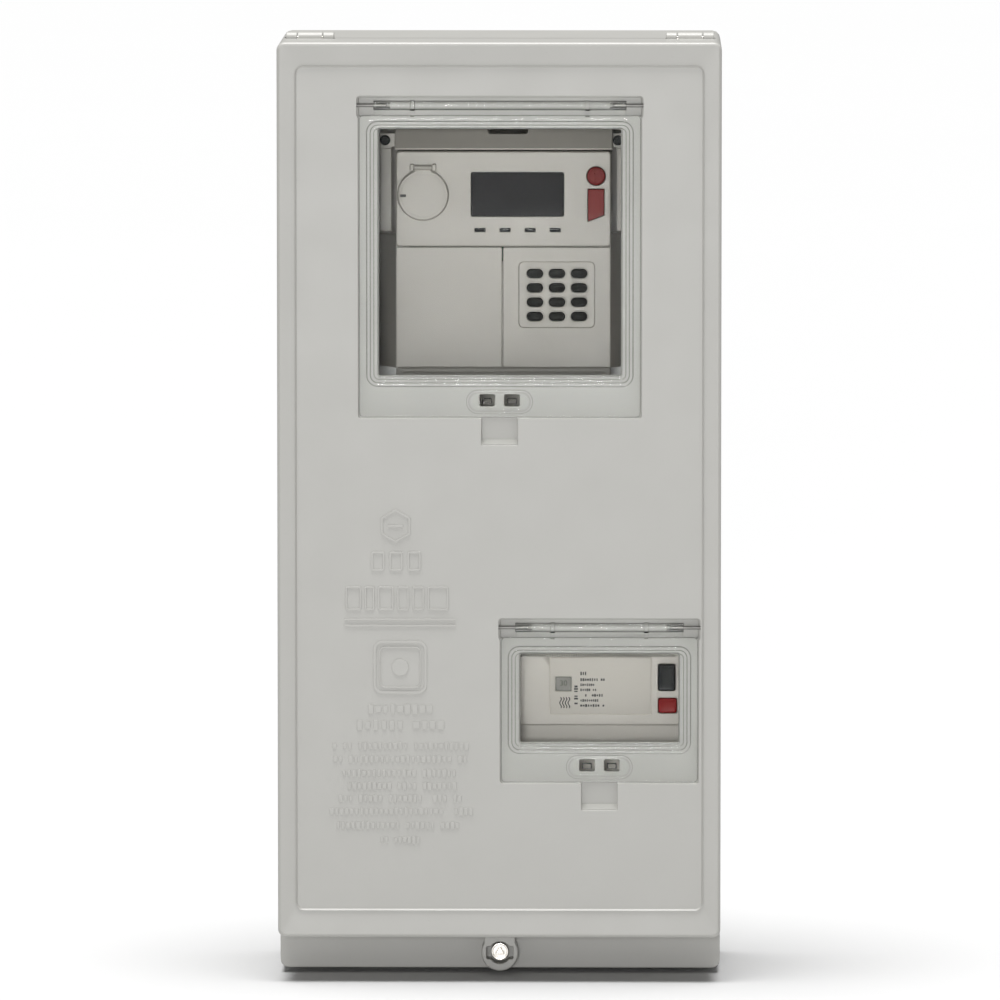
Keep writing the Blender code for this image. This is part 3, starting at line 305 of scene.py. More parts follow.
@dataclass(frozen=True)
class ClearPlastic:
    """Clear polycarbonate that lets lamp light through, with hazy wiping marks, hairline scratches and painted
    shade on edge-on slopes.
    """

    name: str
    tint: Colour = (0.915, 0.92, 0.913)
    roughness: float = 0.02
    ior: float = 1.46
    # how dark the painted edge shade gets, and how quickly it sets in as the surface turns edge-on
    edge_tone: float = 0.25
    edge_depth: float = 1.7
    shine: float = 0.1

    def make(self) -> Material:
        """Build the material."""
        paint = Paint(self.name)
        haze = paint.noise(18 * MM, 3.0)
        scratch = paint.noise(0.5 * MM, 1.0, (1.0, 1.0, 0.03)).above(0.74)
        roughness = self.roughness + haze * 0.02 + scratch * 0.03
        ripple = paint.noise(14 * MM, 1.0)
        # painted shade: the colour darkens where the surface turns edge-on to the view, standing in for the dark
        # lines along the plastic's edges and slopes
        slope = paint.add("ShaderNodeLayerWeight", {"Blend": 0.5})
        painted_edge_shade = paint.add("ShaderNodeClamp", {"Value": Wire(paint, slope.outputs["Facing"]) * self.edge_depth})
        colour = paint.blend(self.tint, scaled(self.tint, self.edge_tone), paint.wire(painted_edge_shade))
        shader = paint.add("ShaderNodeBsdfPrincipled", {
            "Base Color": colour, "Roughness": roughness, "IOR": self.ior,
            "Transmission Weight": 1.0, "Specular Tint": (*scaled(self.tint, self.shine), 1.0),
            "Normal": paint.bump(ripple, 0.02 * MM, 0.5)})
        through = paint.add("ShaderNodeBsdfTransparent", {"Color": (*self.tint, 1.0)})
        rays = paint.add("ShaderNodeLightPath")
        lit = paint.add("ShaderNodeMath", {0: rays.outputs["Is Shadow Ray"], 1: rays.outputs["Is Diffuse Ray"]},
                        operation="MAXIMUM")
        mix = paint.add("ShaderNodeMixShader", {0: lit.outputs[0], 1: shader.outputs[0], 2: through.outputs[0]})
        return paint.finish(mix.outputs[0])


@dataclass(frozen=True)
class Metal:
    """Plated or turned metal with directional tool marks, dull spots and a little grime."""

    name: str
    colour: Colour
    roughness: float = 0.28
    stretch: tuple[float, float, float] = (1.0, 1.0, 0.08)
    mark_size: float = 0.25 * MM
    mark_depth: float = 0.006 * MM
    grime: float = 0.35

    def make(self) -> Material:
        """Build the material."""
        paint = Paint(self.name)
        marks = paint.noise(self.mark_size, 3.0, self.stretch)
        patches = paint.noise(6 * MM, 4.0)
        dirt = (patches - 0.52) * 4.0 * self.grime
        clamped = paint.add("ShaderNodeClamp", {"Value": dirt})
        colour = paint.blend(self.colour, scaled(self.colour, 0.55), paint.wire(clamped))
        roughness = self.roughness + (marks - 0.5) * 0.2 + patches * 0.12
        return paint.surface({"Base Color": colour, "Roughness": roughness, "Metallic": 1.0,
                              "Normal": paint.bump(marks, self.mark_depth)})


@dataclass(frozen=True)
class Rubber:
    """Matt rubber with a fine pore texture and a dusty bloom."""

    name: str
    colour: Colour
    roughness: float = 0.62

    def make(self) -> Material:
        """Build the material."""
        paint = Paint(self.name)
        pores = paint.noise(0.3 * MM, 2.0)
        bloom = paint.noise(4 * MM, 3.0)
        colour = paint.blend(self.colour, tuple(channel + 0.006 for channel in self.colour), bloom)
        return paint.surface({"Base Color": colour, "Roughness": self.roughness + (bloom - 0.5) * 0.2,
                              "IOR": 1.22, "Normal": paint.bump(pores, 0.02 * MM)})


@dataclass(frozen=True)
class SmokedLens:
    """Dark glossy plastic with a faint lighter haze towards one side and fine dust."""

    name: str
    colour: Colour
    roughness: float = 0.09

    def make(self) -> Material:
        """Build the material."""
        paint = Paint(self.name)
        haze = paint.noise(30 * MM, 2.0)
        dust = paint.noise(0.5 * MM, 0.0).above(0.82)
        body = paint.blend(self.colour, tuple(channel + 0.006 for channel in self.colour), haze)
        colour = paint.blend(body, (0.12, 0.12, 0.12), dust * 0.4)
        return paint.surface({"Base Color": colour, "Roughness": self.roughness + haze * 0.03 + dust * 0.2,
                              "IOR": 1.2, "Normal": paint.bump(paint.noise(10 * MM, 1.0), 0.01 * MM)})


@dataclass(frozen=True)
class SolderMask:
    """Green lacquered circuit board with copper tracks under the lacquer and a woven glass core."""

    name: str
    colour: Colour = (0.012, 0.10, 0.035)

    def make(self) -> Material:
        """Build the material."""
        paint = Paint(self.name)
        parts = paint.add("ShaderNodeSeparateXYZ", {"Vector": paint.place})
        across = paint.wire(parts, 0)
        up = paint.wire(parts, 2)
        weave = (across * 6000.0).wave() * (up * 6000.0).wave()
        bend = paint.noise(9 * MM, 1.0)
        tracks = ((across * 1700.0 + bend * 7.0).wave() * ((up * 900.0 + bend * 9.0).wave())).above(0.45)
        colour = paint.blend(self.colour, (0.05, 0.19, 0.06), tracks)
        return paint.surface({"Base Color": colour, "Roughness": 0.32 + tracks * 0.08,
                              "Normal": paint.bump(tracks * 0.8 + weave * 0.1, 0.03 * MM)})


@dataclass(frozen=True)
class StagePaint:
    """Matt pale studio paint with a barely visible unevenness."""

    name: str
    colour: Colour

    def make(self) -> Material:
        """Build the material."""
        paint = Paint(self.name)
        uneven = paint.noise(0.6, 2.0)
        colour = paint.blend(scaled(self.colour, 0.99), self.colour, uneven)
        return paint.surface({"Base Color": colour, "Roughness": 0.9})


class Finishes:
    """Every finish of the object, made once and shared."""

    def __init__(self) -> None:
        """Make all the materials."""
        self.housing = MouldedPlastic("housing_plastic", (0.40, 0.395, 0.372), 0.42).make()
        self.meter = MouldedPlastic("meter_plastic", (0.435, 0.411, 0.371), 0.42, specks=0.05).make()
        self.tray = MouldedPlastic("meter_tray_plastic", (0.60, 0.57, 0.52), 0.42, specks=0.05).make()
        self.breaker = MouldedPlastic("breaker_plastic", (0.74, 0.70, 0.64), 0.4, specks=0.05).make()
        self.label = MouldedPlastic("label_plate", (0.75, 0.71, 0.648), 0.5, 0.3 * MM, specks=0.03).make()
        self.black = MouldedPlastic("black_plastic", (0.009, 0.011, 0.011), 0.34, mottle=0.1, specks=0.02,
                                    ior=1.22).make()
        self.red = MouldedPlastic("red_plastic", (0.33, 0.006, 0.006), 0.3, mottle=0.06, specks=0.05,
                                  ior=1.18).make()
        self.faded_red = MouldedPlastic("faded_red_plastic", (0.19, 0.014, 0.012), 0.35, mottle=0.06,
                                        ior=1.18).make()
        self.relay = MouldedPlastic("relay_plastic", (0.05, 0.05, 0.055), 0.3, mottle=0.06).make()
        self.component = MouldedPlastic("component_plastic", (0.03, 0.03, 0.03), 0.25, mottle=0.1).make()
        self.phase = MouldedPlastic("brown_insulation", (0.115, 0.042, 0.02), 0.38, 0.8 * MM).make()
        self.neutral = MouldedPlastic("blue_insulation", (0.015, 0.055, 0.27), 0.38, 0.8 * MM).make()
        self.ink = MouldedPlastic("printing_ink", (0.035, 0.035, 0.035), 0.6).make()
        self.clear = ClearPlastic("clear_polycarbonate").make()
        self.steel = Metal("plated_steel", (0.68, 0.65, 0.61), 0.2).make()
        self.dull_steel = Metal("dull_steel", (0.30, 0.295, 0.28), 0.5).make()
        self.brass = Metal("turned_brass", (0.74, 0.55, 0.26), 0.24).make()
        self.zinc = Metal("zinc_plate", (0.62, 0.62, 0.61), 0.36, (1.0, 1.0, 0.5), 3 * MM).make()
        self.ferrite = Rubber("toroid_ferrite", (0.05, 0.05, 0.055), 0.5).make()
        self.rubber = Rubber("seal_rubber", (0.018, 0.018, 0.018), 0.7).make()
        self.keys = Rubber("key_rubber", (0.005, 0.005, 0.004), 0.62).make()
        self.lens = SmokedLens("smoked_lens", (0.007, 0.007, 0.008)).make()
        self.board = SolderMask("solder_mask").make()
        self.dial = MouldedPlastic("dial_plastic", (0.36, 0.345, 0.32), 0.45).make()
        self.floor = StagePaint("pale_floor", (0.58, 0.58, 0.58)).make()
        log.info("finishes: %d materials", len(vars(self)))


# --------------------------------------------------------------------------------------------------
# Shapes
# --------------------------------------------------------------------------------------------------


@dataclass(frozen=True)
class Rect:
    """An upright rectangle facing the front."""

    left: float
    right: float
    bottom: float
    top: float

    @classmethod
    def of_node(cls, node: str) -> "Rect":
        """Give the rectangle that a node fills, seen from the front."""
        low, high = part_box(node)
        return cls(low[0], high[0], low[2], high[2])

    @classmethod
    def around(cls, x: float, z: float, width: float, height: float) -> "Rect":
        """Give a rectangle of a size about a middle point."""
        return cls(x - 0.5 * width, x + 0.5 * width, z - 0.5 * height, z + 0.5 * height)

    @property
    def centre(self) -> tuple[float, float]:
        """Give the middle in X and Z."""
        return 0.5 * (self.left + self.right), 0.5 * (self.bottom + self.top)

    def grown(self, margin: float) -> "Rect":
        """Give a rectangle larger by a margin on every side."""
        return Rect(self.left - margin, self.right + margin, self.bottom - margin, self.top + margin)

    def trimmed(self, left: float, right: float, bottom: float, top: float) -> "Rect":
        """Give a rectangle smaller by a margin of its own on each side."""
        return Rect(self.left + left, self.right - right, self.bottom + bottom, self.top - top)

    def outline(self, radius: float = 0.0, steps: int = 6) -> Outline:
        """Give the outline with rounded corners.

        Args:
            radius: Radius of the corners, which stays a little above 0 to keep every point apart.
            steps: Number of edges round each corner.

        Returns:
            The points, anticlockwise from the front.
        """
        limit = 0.499 * min(self.right - self.left, self.top - self.bottom)
        r = min(max(radius, 0.02 * MM), limit)
        corners = ((self.right - r, self.bottom + r, -90), (self.right - r, self.top - r, 0),
                   (self.left + r, self.top - r, 90), (self.left + r, self.bottom + r, 180))
        points = []
        for x, z, start in corners:
            for step in range(steps + 1):
                angle = math.radians(start + 90 * step / steps)
                points.append((x + r * math.cos(angle), z + r * math.sin(angle)))
        return points


def disc(x: float, z: float, radius: float, sides: int = 48, start: float = 0.0) -> Outline:
    """Give the outline of a circle, or of a regular polygon when it has few sides."""
    angles = [start + i * (2 * math.pi / sides) for i in range(sides)]
    return [(x + radius * math.cos(angle), z + radius * math.sin(angle)) for angle in angles]


def offset(outline: Outline, amount: float) -> Outline:
    """Move every side of an outline outwards.

    Args:
        outline: The points, anticlockwise from the front.
        amount: The distance, negative to move inwards.

    Returns:
        The new outline, with the same number of points.
    """
    count = len(outline)
    normals = []
    for i, (x, z) in enumerate(outline):
        following = outline[(i + 1) % count]
        side = Vector((following[1] - z, x - following[0])).normalized()
        normals.append(side)
    moved_points = []
    for i, (x, z) in enumerate(outline):
        before, after = normals[i - 1], normals[i]
        bisector = (before + after) / max(1 + before.dot(after), 0.2)
        moved_points.append((x + bisector.x * amount, z + bisector.y * amount))
    return moved_points


def depth_span(node: str) -> tuple[float, float]:
    """Give a node's back and front as depths."""
    low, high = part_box(node)
    return -high[1], -low[1]


def linked(name: str, data: bpy.types.ID) -> Object:
    """Make an object of some data and link it to the scene."""
    thing = bpy.data.objects.new(name, data)
    bpy.context.scene.collection.objects.link(thing)
    return thing


def object_from(name: str, shape: bmesh.types.BMesh, sharp: float = 35.0) -> Object:
    """Turn a bmesh into an object shaded smooth.

    Args:
        name: Name of the object.
        shape: The mesh, which is freed.
        sharp: Edges that turn more than this many degrees stay sharp.

    Returns:
        The object, linked to the scene.
    """
    bmesh.ops.recalc_face_normals(shape, faces=shape.faces)
    mesh = bpy.data.meshes.new(name)
    shape.to_mesh(mesh)
    shape.free()
    mesh.shade_smooth()
    mesh.set_sharp_from_angle(angle=math.radians(sharp))
    return linked(name, mesh)


def skin(name: str, rings: Sequence[Ring], looped: bool = False) -> Object:
    """Join rings of points, each in the same order, into one closed body.

    Args:
        name: Name of the object.
        rings: The rings.
        looped: True to join the last ring to the first, for a frame; False to cap both ends.

    Returns:
        The object.
    """
    shape = bmesh.new()
    rows = [[shape.verts.new(point) for point in ring] for ring in rings]
    count = len(rows[0])
    pairs = list(zip(rows, rows[1:]))
    if looped:
        pairs.append((rows[-1], rows[0]))
    for lower, upper in pairs:
        for i in range(count):
            j = (i + 1) % count
            shape.faces.new((lower[i], lower[j], upper[j], upper[i]))
    if not looped:
        shape.faces.new(rows[0])
        shape.faces.new(rows[-1])
    return object_from(name, shape)


def stack(name: str, levels: Sequence[tuple[Outline, float]], looped: bool = False) -> Object:
    """Join outlines at their depths into one closed body."""
    return skin(name, [[Vector((x, -depth, z)) for x, z in outline] for outline, depth in levels], looped)


def quarter(radius: float, steps: int = 5, end: float = 90.0) -> list[tuple[float, float]]:
    """Give the steps of a rounded edge.

    Args:
        radius: Radius of the edge.
        steps: Number of segments.
        end: How far round the edge goes, in degrees.

    Returns:
        Pairs of the move sideways and the distance still to go, from the wall to the face.
    """
    angles = [math.radians(end * step / steps) for step in range(steps + 1)]
    return [(radius * (1 - math.cos(angle)), radius * (1 - math.sin(angle))) for angle in angles]


def eased(outline: Outline, front: float, edge: float, steps: int = 5) -> Levels:
    """Give the levels that round a wall over into a front face."""
    return [(offset(outline, -side), front - rest) for side, rest in quarter(edge, steps)]


def rod(radius: float, length: float, edge: float, steps: int = 4, between: Profile = ()) -> Profile:
    """Give the profile of a round rod with rounded ends.

    Args:
        radius: Radius of the rod.
        length: Its length.
        edge: Radius of the ends' edges.
        steps: Number of segments round an edge.
        between: Points of the profile between the two ends.

    Returns:
        Points of (radius, distance along the axis).
    """
    ends = quarter(edge, steps)
    return [(0.0, 0.0), *((radius - side, rest) for side, rest in reversed(ends)), *between,
            *((radius - side, length - rest) for side, rest in ends), (0.0, length)]


def pad(name: str, outline: Outline, back: float, front: float, edge: float, back_edge: float = 0.0,
        steps: int = 5) -> Object:
    """Make a solid plate with its front edge, and if wanted its back edge, rounded over.

    Args:
        name: Name of the object.
        outline: Its outline.
        back: Depth of its back.
        front: Depth of its front.
        edge: Radius of the front edge.
        back_edge: Radius of the back edge.
        steps: Number of segments round an edge.

    Returns:
        The object.
    """
    levels = [(offset(outline, -side), back + rest) for side, rest in reversed(quarter(back_edge, steps))] \
        if back_edge else [(outline, back)]
    return stack(name, levels + eased(outline, front, edge, steps))


def hollow(outline: Outline, floor: float, surface: float, flare: float = 0.3 * MM,
           fillet: float = 0.0) -> Object:
    """Make a cutter for a hole or pocket whose rim comes out rounded.

    Args:
        outline: Outline of the hole.
        floor: Depth that it is cut down to.
        surface: Depth of the face that it is cut into.
        flare: Radius of the rim.
        fillet: Radius where the walls meet the floor.

    Returns:
        The cutter.
    """
    levels = [(offset(outline, -side), floor + rest) for side, rest in reversed(quarter(fillet, 4))] \
        if fillet else [(outline, floor)]
    slope = math.tan(math.radians(70))
    rim = quarter(flare, 4, 70)
    levels += [(offset(outline, side), surface - rest) for side, rest in rim]
    clear = 0.3 * MM
    side, rest = rim[-1]
    levels.append((offset(outline, side + (rest + clear) * slope), surface + clear))
    levels.append((offset(outline, side + (rest + clear) * slope), surface + 4 * MM))
    return stack("cutter", levels)


def frame_between(name: str, outer: Outline, inner: Outline, back: float, front: float,
                  edge: float = 0.2 * MM) -> Object:
    """Make a closed frame between two outlines of the same number of points, with rounded front edges."""
    levels = [(outer, back)] + eased(outer, front, edge, 3)
    levels += [(offset(inner, side), front - rest) for side, rest in reversed(quarter(edge, 3))]
    return stack(name, levels + [(inner, back)], looped=True)


def turn(name: str, profile: Sequence[tuple[float, float]], origin: Sequence[float], axis: Sequence[float],
         sides: int = 48) -> Object:
    """Turn a profile about an axis into one closed body.

    Args:
        name: Name of the object.
        profile: Points of (radius, distance along the axis) from one end to the other.
        origin: A point on the axis, where the distance is 0.
        axis: Direction of the axis.
        sides: Number of faces round.

    Returns:
        The object.
    """
    direction = Vector(axis).normalized()
    where = Matrix.Translation(Vector(origin)) @ direction.to_track_quat("Z", "Y").to_matrix().to_4x4()
    step = 2 * math.pi / sides
    rings = []
    for radius, along in profile:
        r = max(radius, 0.004 * MM)
        rings.append([where @ Vector((r * math.cos(i * step), r * math.sin(i * step), along))
                      for i in range(sides)])
    return skin(name, rings)


def ring_of(node: str, section: Profile, sides: int, ripple: float = 0.0, waves: int = 48) -> Object:
    """Turn a closed section about a node's upright middle line.

    Args:
        node: The node that the ring fills.
        section: Points of (radius, height above the node's bottom).
        sides: Number of faces round.
        ripple: How much the radius swells and shrinks round the ring, as a fraction.
        waves: Number of swells.

    Returns:
        The ring.
    """
    low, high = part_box(node)
    middle = 0.5 * (low + high)
    rings = []
    for i in range(sides):
        angle = 2 * math.pi * i / sides
        swell = 1 + ripple * math.cos(waves * angle)
        rings.append([Vector((middle[0] + r * swell * math.cos(angle), middle[1] + r * swell * math.sin(angle),
                              low[2] + along)) for r, along in section])
    return skin(node, rings, True)


def bar(name: str, node: str, axis: int, edge: float = 0.25 * MM, sides: int = 32) -> Object:
    """Make a round bar with rounded ends that fills a node's box.

    Args:
        name: Name of the object.
        node: The node.
        axis: 0 for a bar along X, 1 along Y, 2 along Z.
        edge: Radius of the ends' edges.
        sides: Number of faces round.

    Returns:
        The object.
    """
    low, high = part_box(node)
    middle = 0.5 * (low + high)
    length = high[axis] - low[axis]
    radius = 0.5 * (high[axis - 1] - low[axis - 1])
    start = middle.copy()
    start[axis] = low[axis]
    direction = Vector((0.0, 0.0, 0.0))
    direction[axis] = 1.0
    return turn(name, rod(radius, length, edge), start, direction, sides)


def settle(thing: Object) -> Object:
    """Keep an object's evaluated mesh and drop its modifiers."""
    evaluated = thing.evaluated_get(bpy.context.evaluated_depsgraph_get())
    mesh = bpy.data.meshes.new_from_object(evaluated)
    thing.modifiers.clear()
    former = thing.data
    thing.data = mesh
    bpy.data.meshes.remove(former)
    mesh.name = thing.name
    return thing


def carve(target: Object, tools: Iterable[Object], how: Cut = Cut.AWAY) -> Object:
    """Cut tools out of a target, or join them to it, and remove the tools.

    Args:
        target: The object that stays.
        tools: The objects that are used up.
        how: Whether the tools are taken away or joined.

    Returns:
        The target.
    """
    for tool in tools:
        modifier = target.modifiers.new("shape", "BOOLEAN")
        modifier.operation = how.value
        modifier.solver = "EXACT"
        modifier.object = tool
        settle(target)
        bpy.data.objects.remove(tool, do_unlink=True)
    return target


def even_shading(thing: Object, sharp: float = 40.0) -> Object:
    """Shade rounded edges smooth and large flats flat.

    Args:
        thing: The object.
        sharp: Edges that turn more than this many degrees stay sharp.

    Returns:
        The same object.
    """
    shape = bmesh.new()
    shape.from_mesh(thing.data)
    bmesh.ops.remove_doubles(shape, verts=shape.verts, dist=0.001 * MM)
    shape.to_mesh(thing.data)
    shape.free()
    thing.data.shade_smooth()
    thing.data.set_sharp_from_angle(angle=math.radians(sharp))
    weight = thing.modifiers.new("flats", "WEIGHTED_NORMAL")
    weight.keep_sharp = True
    weight.weight = 90
    return settle(thing)


def soften(thing: Object, width: float, segments: int = 3, angle: float = 38.0) -> Object:
    """Round every sharp edge and shade the flats flat.

    Args:
        thing: The object to round.
        width: Width of the rounding.
        segments: Number of faces across it.
        angle: Edges that turn more than this many degrees are rounded.

    Returns:
        The same object.
    """
    bevel = thing.modifiers.new("edges", "BEVEL")
    bevel.width = width
    bevel.segments = segments
    bevel.limit_method = "ANGLE"
    bevel.angle_limit = math.radians(angle)
    bevel.use_clamp_overlap = False
    bevel.loop_slide = False
    bevel.miter_outer = "MITER_ARC"
    settle(thing)
    return even_shading(thing, 50.0)


def copy_of_node(node: str) -> Object:
    """Give a merged, simplified copy of a CAD node's mesh, at the same place and ready to round."""
    shape = bmesh.new()
    shape.from_mesh(frame["nodes"][node].data)
    bmesh.ops.remove_doubles(shape, verts=shape.verts, dist=0.002 * MM)
    bmesh.ops.dissolve_degenerate(shape, dist=0.01 * MM, edges=shape.edges)
    bmesh.ops.dissolve_limit(shape, angle_limit=math.radians(0.6), verts=shape.verts, edges=shape.edges)
    return object_from(f"{node}_finished", shape)


def place(piece: Object, body: str, slot: str, finish: Material,
          nodes: Sequence[str] = ()) -> Object:
    """Dress a finished piece and hand it to the frame.

    Args:
        piece: The piece.
        body: The body that it rides on.
        slot: The record's material slot; not used.
        finish: Its material.
        nodes: The CAD nodes that it stands for.

    Returns:
        The piece.
    """
    piece.data.materials.clear()
    piece.data.materials.append(finish)
    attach(piece, body)
    if nodes:
        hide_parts(*nodes)
    log.info("%s rides on %s, %d faces", piece.name, body, len(piece.data.polygons))
    return piece


def stand_for(piece: Object, node: str, finish: Material) -> Object:
    """Put a piece in a CAD node's stead, on the same body."""
    piece.name = f"{node}_finished"
    return place(piece, BODY_OF_NODE[node], SLOT_OF_NODE[node], finish, [node])


def refine(node: str, finish: Material, width: float = 0.4 * MM, segments: int = 3) -> Object:
    """Replace a CAD node by the same shape with its edges rounded.

    Args:
        node: The node.
        finish: Its material.
        width: Width of the rounding.
        segments: Number of faces across it.

    Returns:
        The new piece.
    """
    return stand_for(soften(copy_of_node(node), width, segments), node, finish)


# --------------------------------------------------------------------------------------------------
# Repeated detail, grown by geometry nodes
# --------------------------------------------------------------------------------------------------


class Growth(Graph):
    """A geometry-nodes tree with named inputs that is run once on a carrier object."""

    SOCKETS = {float: "NodeSocketFloat", int: "NodeSocketInt", Material: "NodeSocketMaterial",
               Object: "NodeSocketObject"}

    def __init__(self, name: str, kinds: dict[str, type]) -> None:
        """Start a tree.

        Args:
            name: Name of the tree.
            kinds: Name and type of each input.
        """
        tree = bpy.data.node_groups.new(name, "GeometryNodeTree")
        super().__init__(tree)
        self.identifiers = {}
        for label, kind in kinds.items():
            socket = tree.interface.new_socket(label, in_out="INPUT", socket_type=self.SOCKETS[kind])
            self.identifiers[label] = socket.identifier
        tree.interface.new_socket("Geometry", in_out="OUTPUT", socket_type="NodeSocketGeometry")
        self.source = self.add("NodeGroupInput")

    def given(self, label: str) -> Wire:
        """Give one of the tree's inputs."""
        return Wire(self, self.source.outputs[label])

    def vector(self, x: Input, y: Input, z: Input) -> NodeSocket:
        """Combine three numbers or wires into a vector."""
        return self.add("ShaderNodeCombineXYZ", {0: x, 1: y, 2: z}).outputs[0]

    def random(self, low: float, high: float, seed: Input, salt: int) -> Wire:
        """Give a random number for each point.

        Args:
            low: The lowest value.
            high: The highest value.
            seed: The tree's seed.
            salt: A number that makes this draw differ from the tree's other draws.

        Returns:
            The random value.
        """
        index = self.add("GeometryNodeInputIndex").outputs[0]
        node = self.add("FunctionNodeRandomValue", data_type="FLOAT")
        for label, value in (("Min", low), ("Max", high)):
            next(s for s in node.inputs if s.name == label and s.enabled).default_value = value
        self.tree.links.new(index, next(s for s in node.inputs if s.name == "ID"))
        self.tree.links.new((seed + float(salt)).socket, next(s for s in node.inputs if s.name == "Seed"))
        return Wire(self, next(s for s in node.outputs if s.enabled))

    def line(self, count: Input, pitch: Input, start: Input = (0.0, 0.0, 0.0)) -> NodeSocket:
        """Give a row of points along X."""
        step = self.vector(pitch, 0.0, 0.0)
        return self.add("GeometryNodeMeshLine", {"Count": count, "Start Location": start, "Offset": step},
                        mode="OFFSET").outputs[0]

    def grid(self, columns: Input, rows: Input) -> NodeSocket:
        """Give an upright grid of points of the tree's own width and height."""
        flat = self.add("GeometryNodeMeshGrid", {"Size X": self.given("Width"), "Size Y": self.given("Height"),
                                                 "Vertices X": columns, "Vertices Y": rows})
        return self.add("GeometryNodeTransform", {
            "Geometry": flat.outputs[0], "Rotation": (math.radians(90), 0.0, 0.0)}).outputs[0]

    def thinned(self, points: NodeSocket, marked: Wire) -> NodeSocket:
        """Give the points without those that are marked."""
        return self.add("GeometryNodeDeleteGeometry", {"Geometry": points, "Selection": marked},
                        domain="POINT").outputs[0]

    def block(self, size: Input = (1.0, 1.0, 1.0)) -> NodeSocket:
        """Give a box of a size."""
        return self.add("GeometryNodeMeshCube", {"Size": size}).outputs[0]

    def copy_of(self, label: str) -> NodeSocket:
        """Give the mesh of the object that an input names."""
        return self.add("GeometryNodeObjectInfo", {"Object": self.given(label)}).outputs["Geometry"]

    def close(self, points: NodeSocket, instance: NodeSocket, scale: Input = (1.0, 1.0, 1.0)) -> None:
        """Put an instance on each point, realize them, give them the tree's material and connect the output.

        Args:
            points: The points.
            instance: The shape on each of them.
            scale: The shape's scale for each axis.
        """
        placed = self.add("GeometryNodeInstanceOnPoints", {
            "Points": points, "Instance": instance, "Scale": scale})
        real = self.add("GeometryNodeRealizeInstances", {0: placed.outputs[0]})
        dressed = self.add("GeometryNodeSetMaterial", {
            "Geometry": real.outputs[0], "Material": self.given("Material")})
        self.add("NodeGroupOutput", {0: dressed.outputs[0]})

    def grow(self, name: str, values: dict[str, Input]) -> Object:
        """Run the tree on a new object and keep the result as a plain mesh.

        Args:
            name: Name of the object.
            values: The value of each input.

        Returns:
            The object.
        """
        thing = linked(name, bpy.data.meshes.new(name))
        modifier = thing.modifiers.new(name, "NODES")
        modifier.node_group = self.tree
        for label, value in values.items():
            modifier[self.identifiers[label]] = value
        return settle(thing)


class GlyphRows(Growth):
    """Rows of small raised blocks that read as wording from afar and spell nothing."""

    def __init__(self) -> None:
        """Build the tree: a line of cells, some left empty, each holding a block of random size."""
        super().__init__("glyph_row", {"Width": float, "Cells": int, "Height": float, "Relief": float,
                                       "Spaces": float, "Seed": int, "Material": Material})
        width, cells, seed = self.given("Width"), self.given("Cells"), self.given("Seed")
        pitch = width / cells
        line = self.line(cells, pitch, self.vector((pitch - width) * 0.5, 0.0, 0.0))
        empty = self.given("Spaces").above(self.random(0.0, 1.0, seed, 3))
        size = self.vector(pitch * self.random(0.5, 0.86, seed, 11), self.given("Relief"),
                           self.given("Height") * self.random(0.62, 1.0, seed, 17))
        self.close(self.thinned(line, empty), self.block(), size)


    def row(self, name: str, size: tuple[float, float], cells: int, relief: float, spaces: float, seed: int,
            finish: Material) -> Object:
        """Grow one row.

        Args:
            name: Name of the row.
            size: Width and height in millimetres.
            cells: Number of cells.
            relief: Thickness of the blocks.
            spaces: Share of the cells that stay empty.
            seed: Seed of the row.
            finish: Its material.

        Returns:
            The row.
        """
        width, height = size
        return self.grow(name, {"Width": width * MM, "Cells": cells, "Height": height * MM, "Relief": relief,
                                "Spaces": spaces, "Seed": seed, "Material": finish})


class SlotComb(Growth):
    """A straight comb of identical narrow bars."""

    def __init__(self) -> None:
        """Build the tree: a line of points with one bar on each."""
        super().__init__("slot_comb", {"Count": int, "Pitch": float, "Bar": float, "Height": float,
                                       "Relief": float, "Material": Material})
        size = self.vector(self.given("Bar"), self.given("Relief"), self.given("Height"))
        self.close(self.line(self.given("Count"), self.given("Pitch")), self.block(size))


class ScrewRow(Growth):
    """A row of copies of one screw head."""

    def __init__(self) -> None:
        """Build the tree: a line of points with the given head on each."""
        super().__init__("screw_row", {"Count": int, "Pitch": float, "Head": Object, "Material": Material})
        self.close(self.line(self.given("Count"), self.given("Pitch")), self.copy_of("Head"))


class BoardParts(Growth):
    """Small components scattered over a circuit board on a loose grid."""

    def __init__(self) -> None:
        """Build the tree: a grid of points, thinned at random, with a block of random size on each."""
        super().__init__("board_parts", {"Width": float, "Height": float, "Seed": int, "Material": Material})
        seed = self.given("Seed")
        kept = self.thinned(self.grid(12, 9), self.random(0.0, 1.0, seed, 5).above(0.62))
        size = self.vector(self.random(2 * MM, 6.5 * MM, seed, 7), 2.2 * MM,
                           self.random(1.6 * MM, 6 * MM, seed, 13))
        self.close(kept, self.block(), size)


class KeyRims(Growth):
    """Raised rims round the keys, one copy of a rim on each point of a grid."""

    def __init__(self) -> None:
        """Build the tree: an upright grid of points with the given rim on each."""
        super().__init__("key_rims", {"Width": float, "Height": float, "Columns": int, "Rows": int,
                                      "Rim": Object, "Material": Material})
        self.close(self.grid(self.given("Columns"), self.given("Rows")), self.copy_of("Rim"))


def moved(thing: Object, x: float, depth: float, z: float) -> Object:
    """Move an object's mesh so that its origin point lands on a place, and leave the object at the origin."""
    thing.data.transform(Matrix.Translation((x, -depth, z)))
    return thing


def joined(name: str, parts: Sequence[Object]) -> Object:
    """Gather separate solids into one object.

    Args:
        name: Name of the new object.
        parts: The objects, which are used up.

    Returns:
        The object.
    """
    shape = bmesh.new()
    for part in parts:
        shape.from_mesh(part.data)
        bpy.data.objects.remove(part, do_unlink=True)
    return object_from(name, shape)


# --------------------------------------------------------------------------------------------------
# Sub-assemblies
# --------------------------------------------------------------------------------------------------


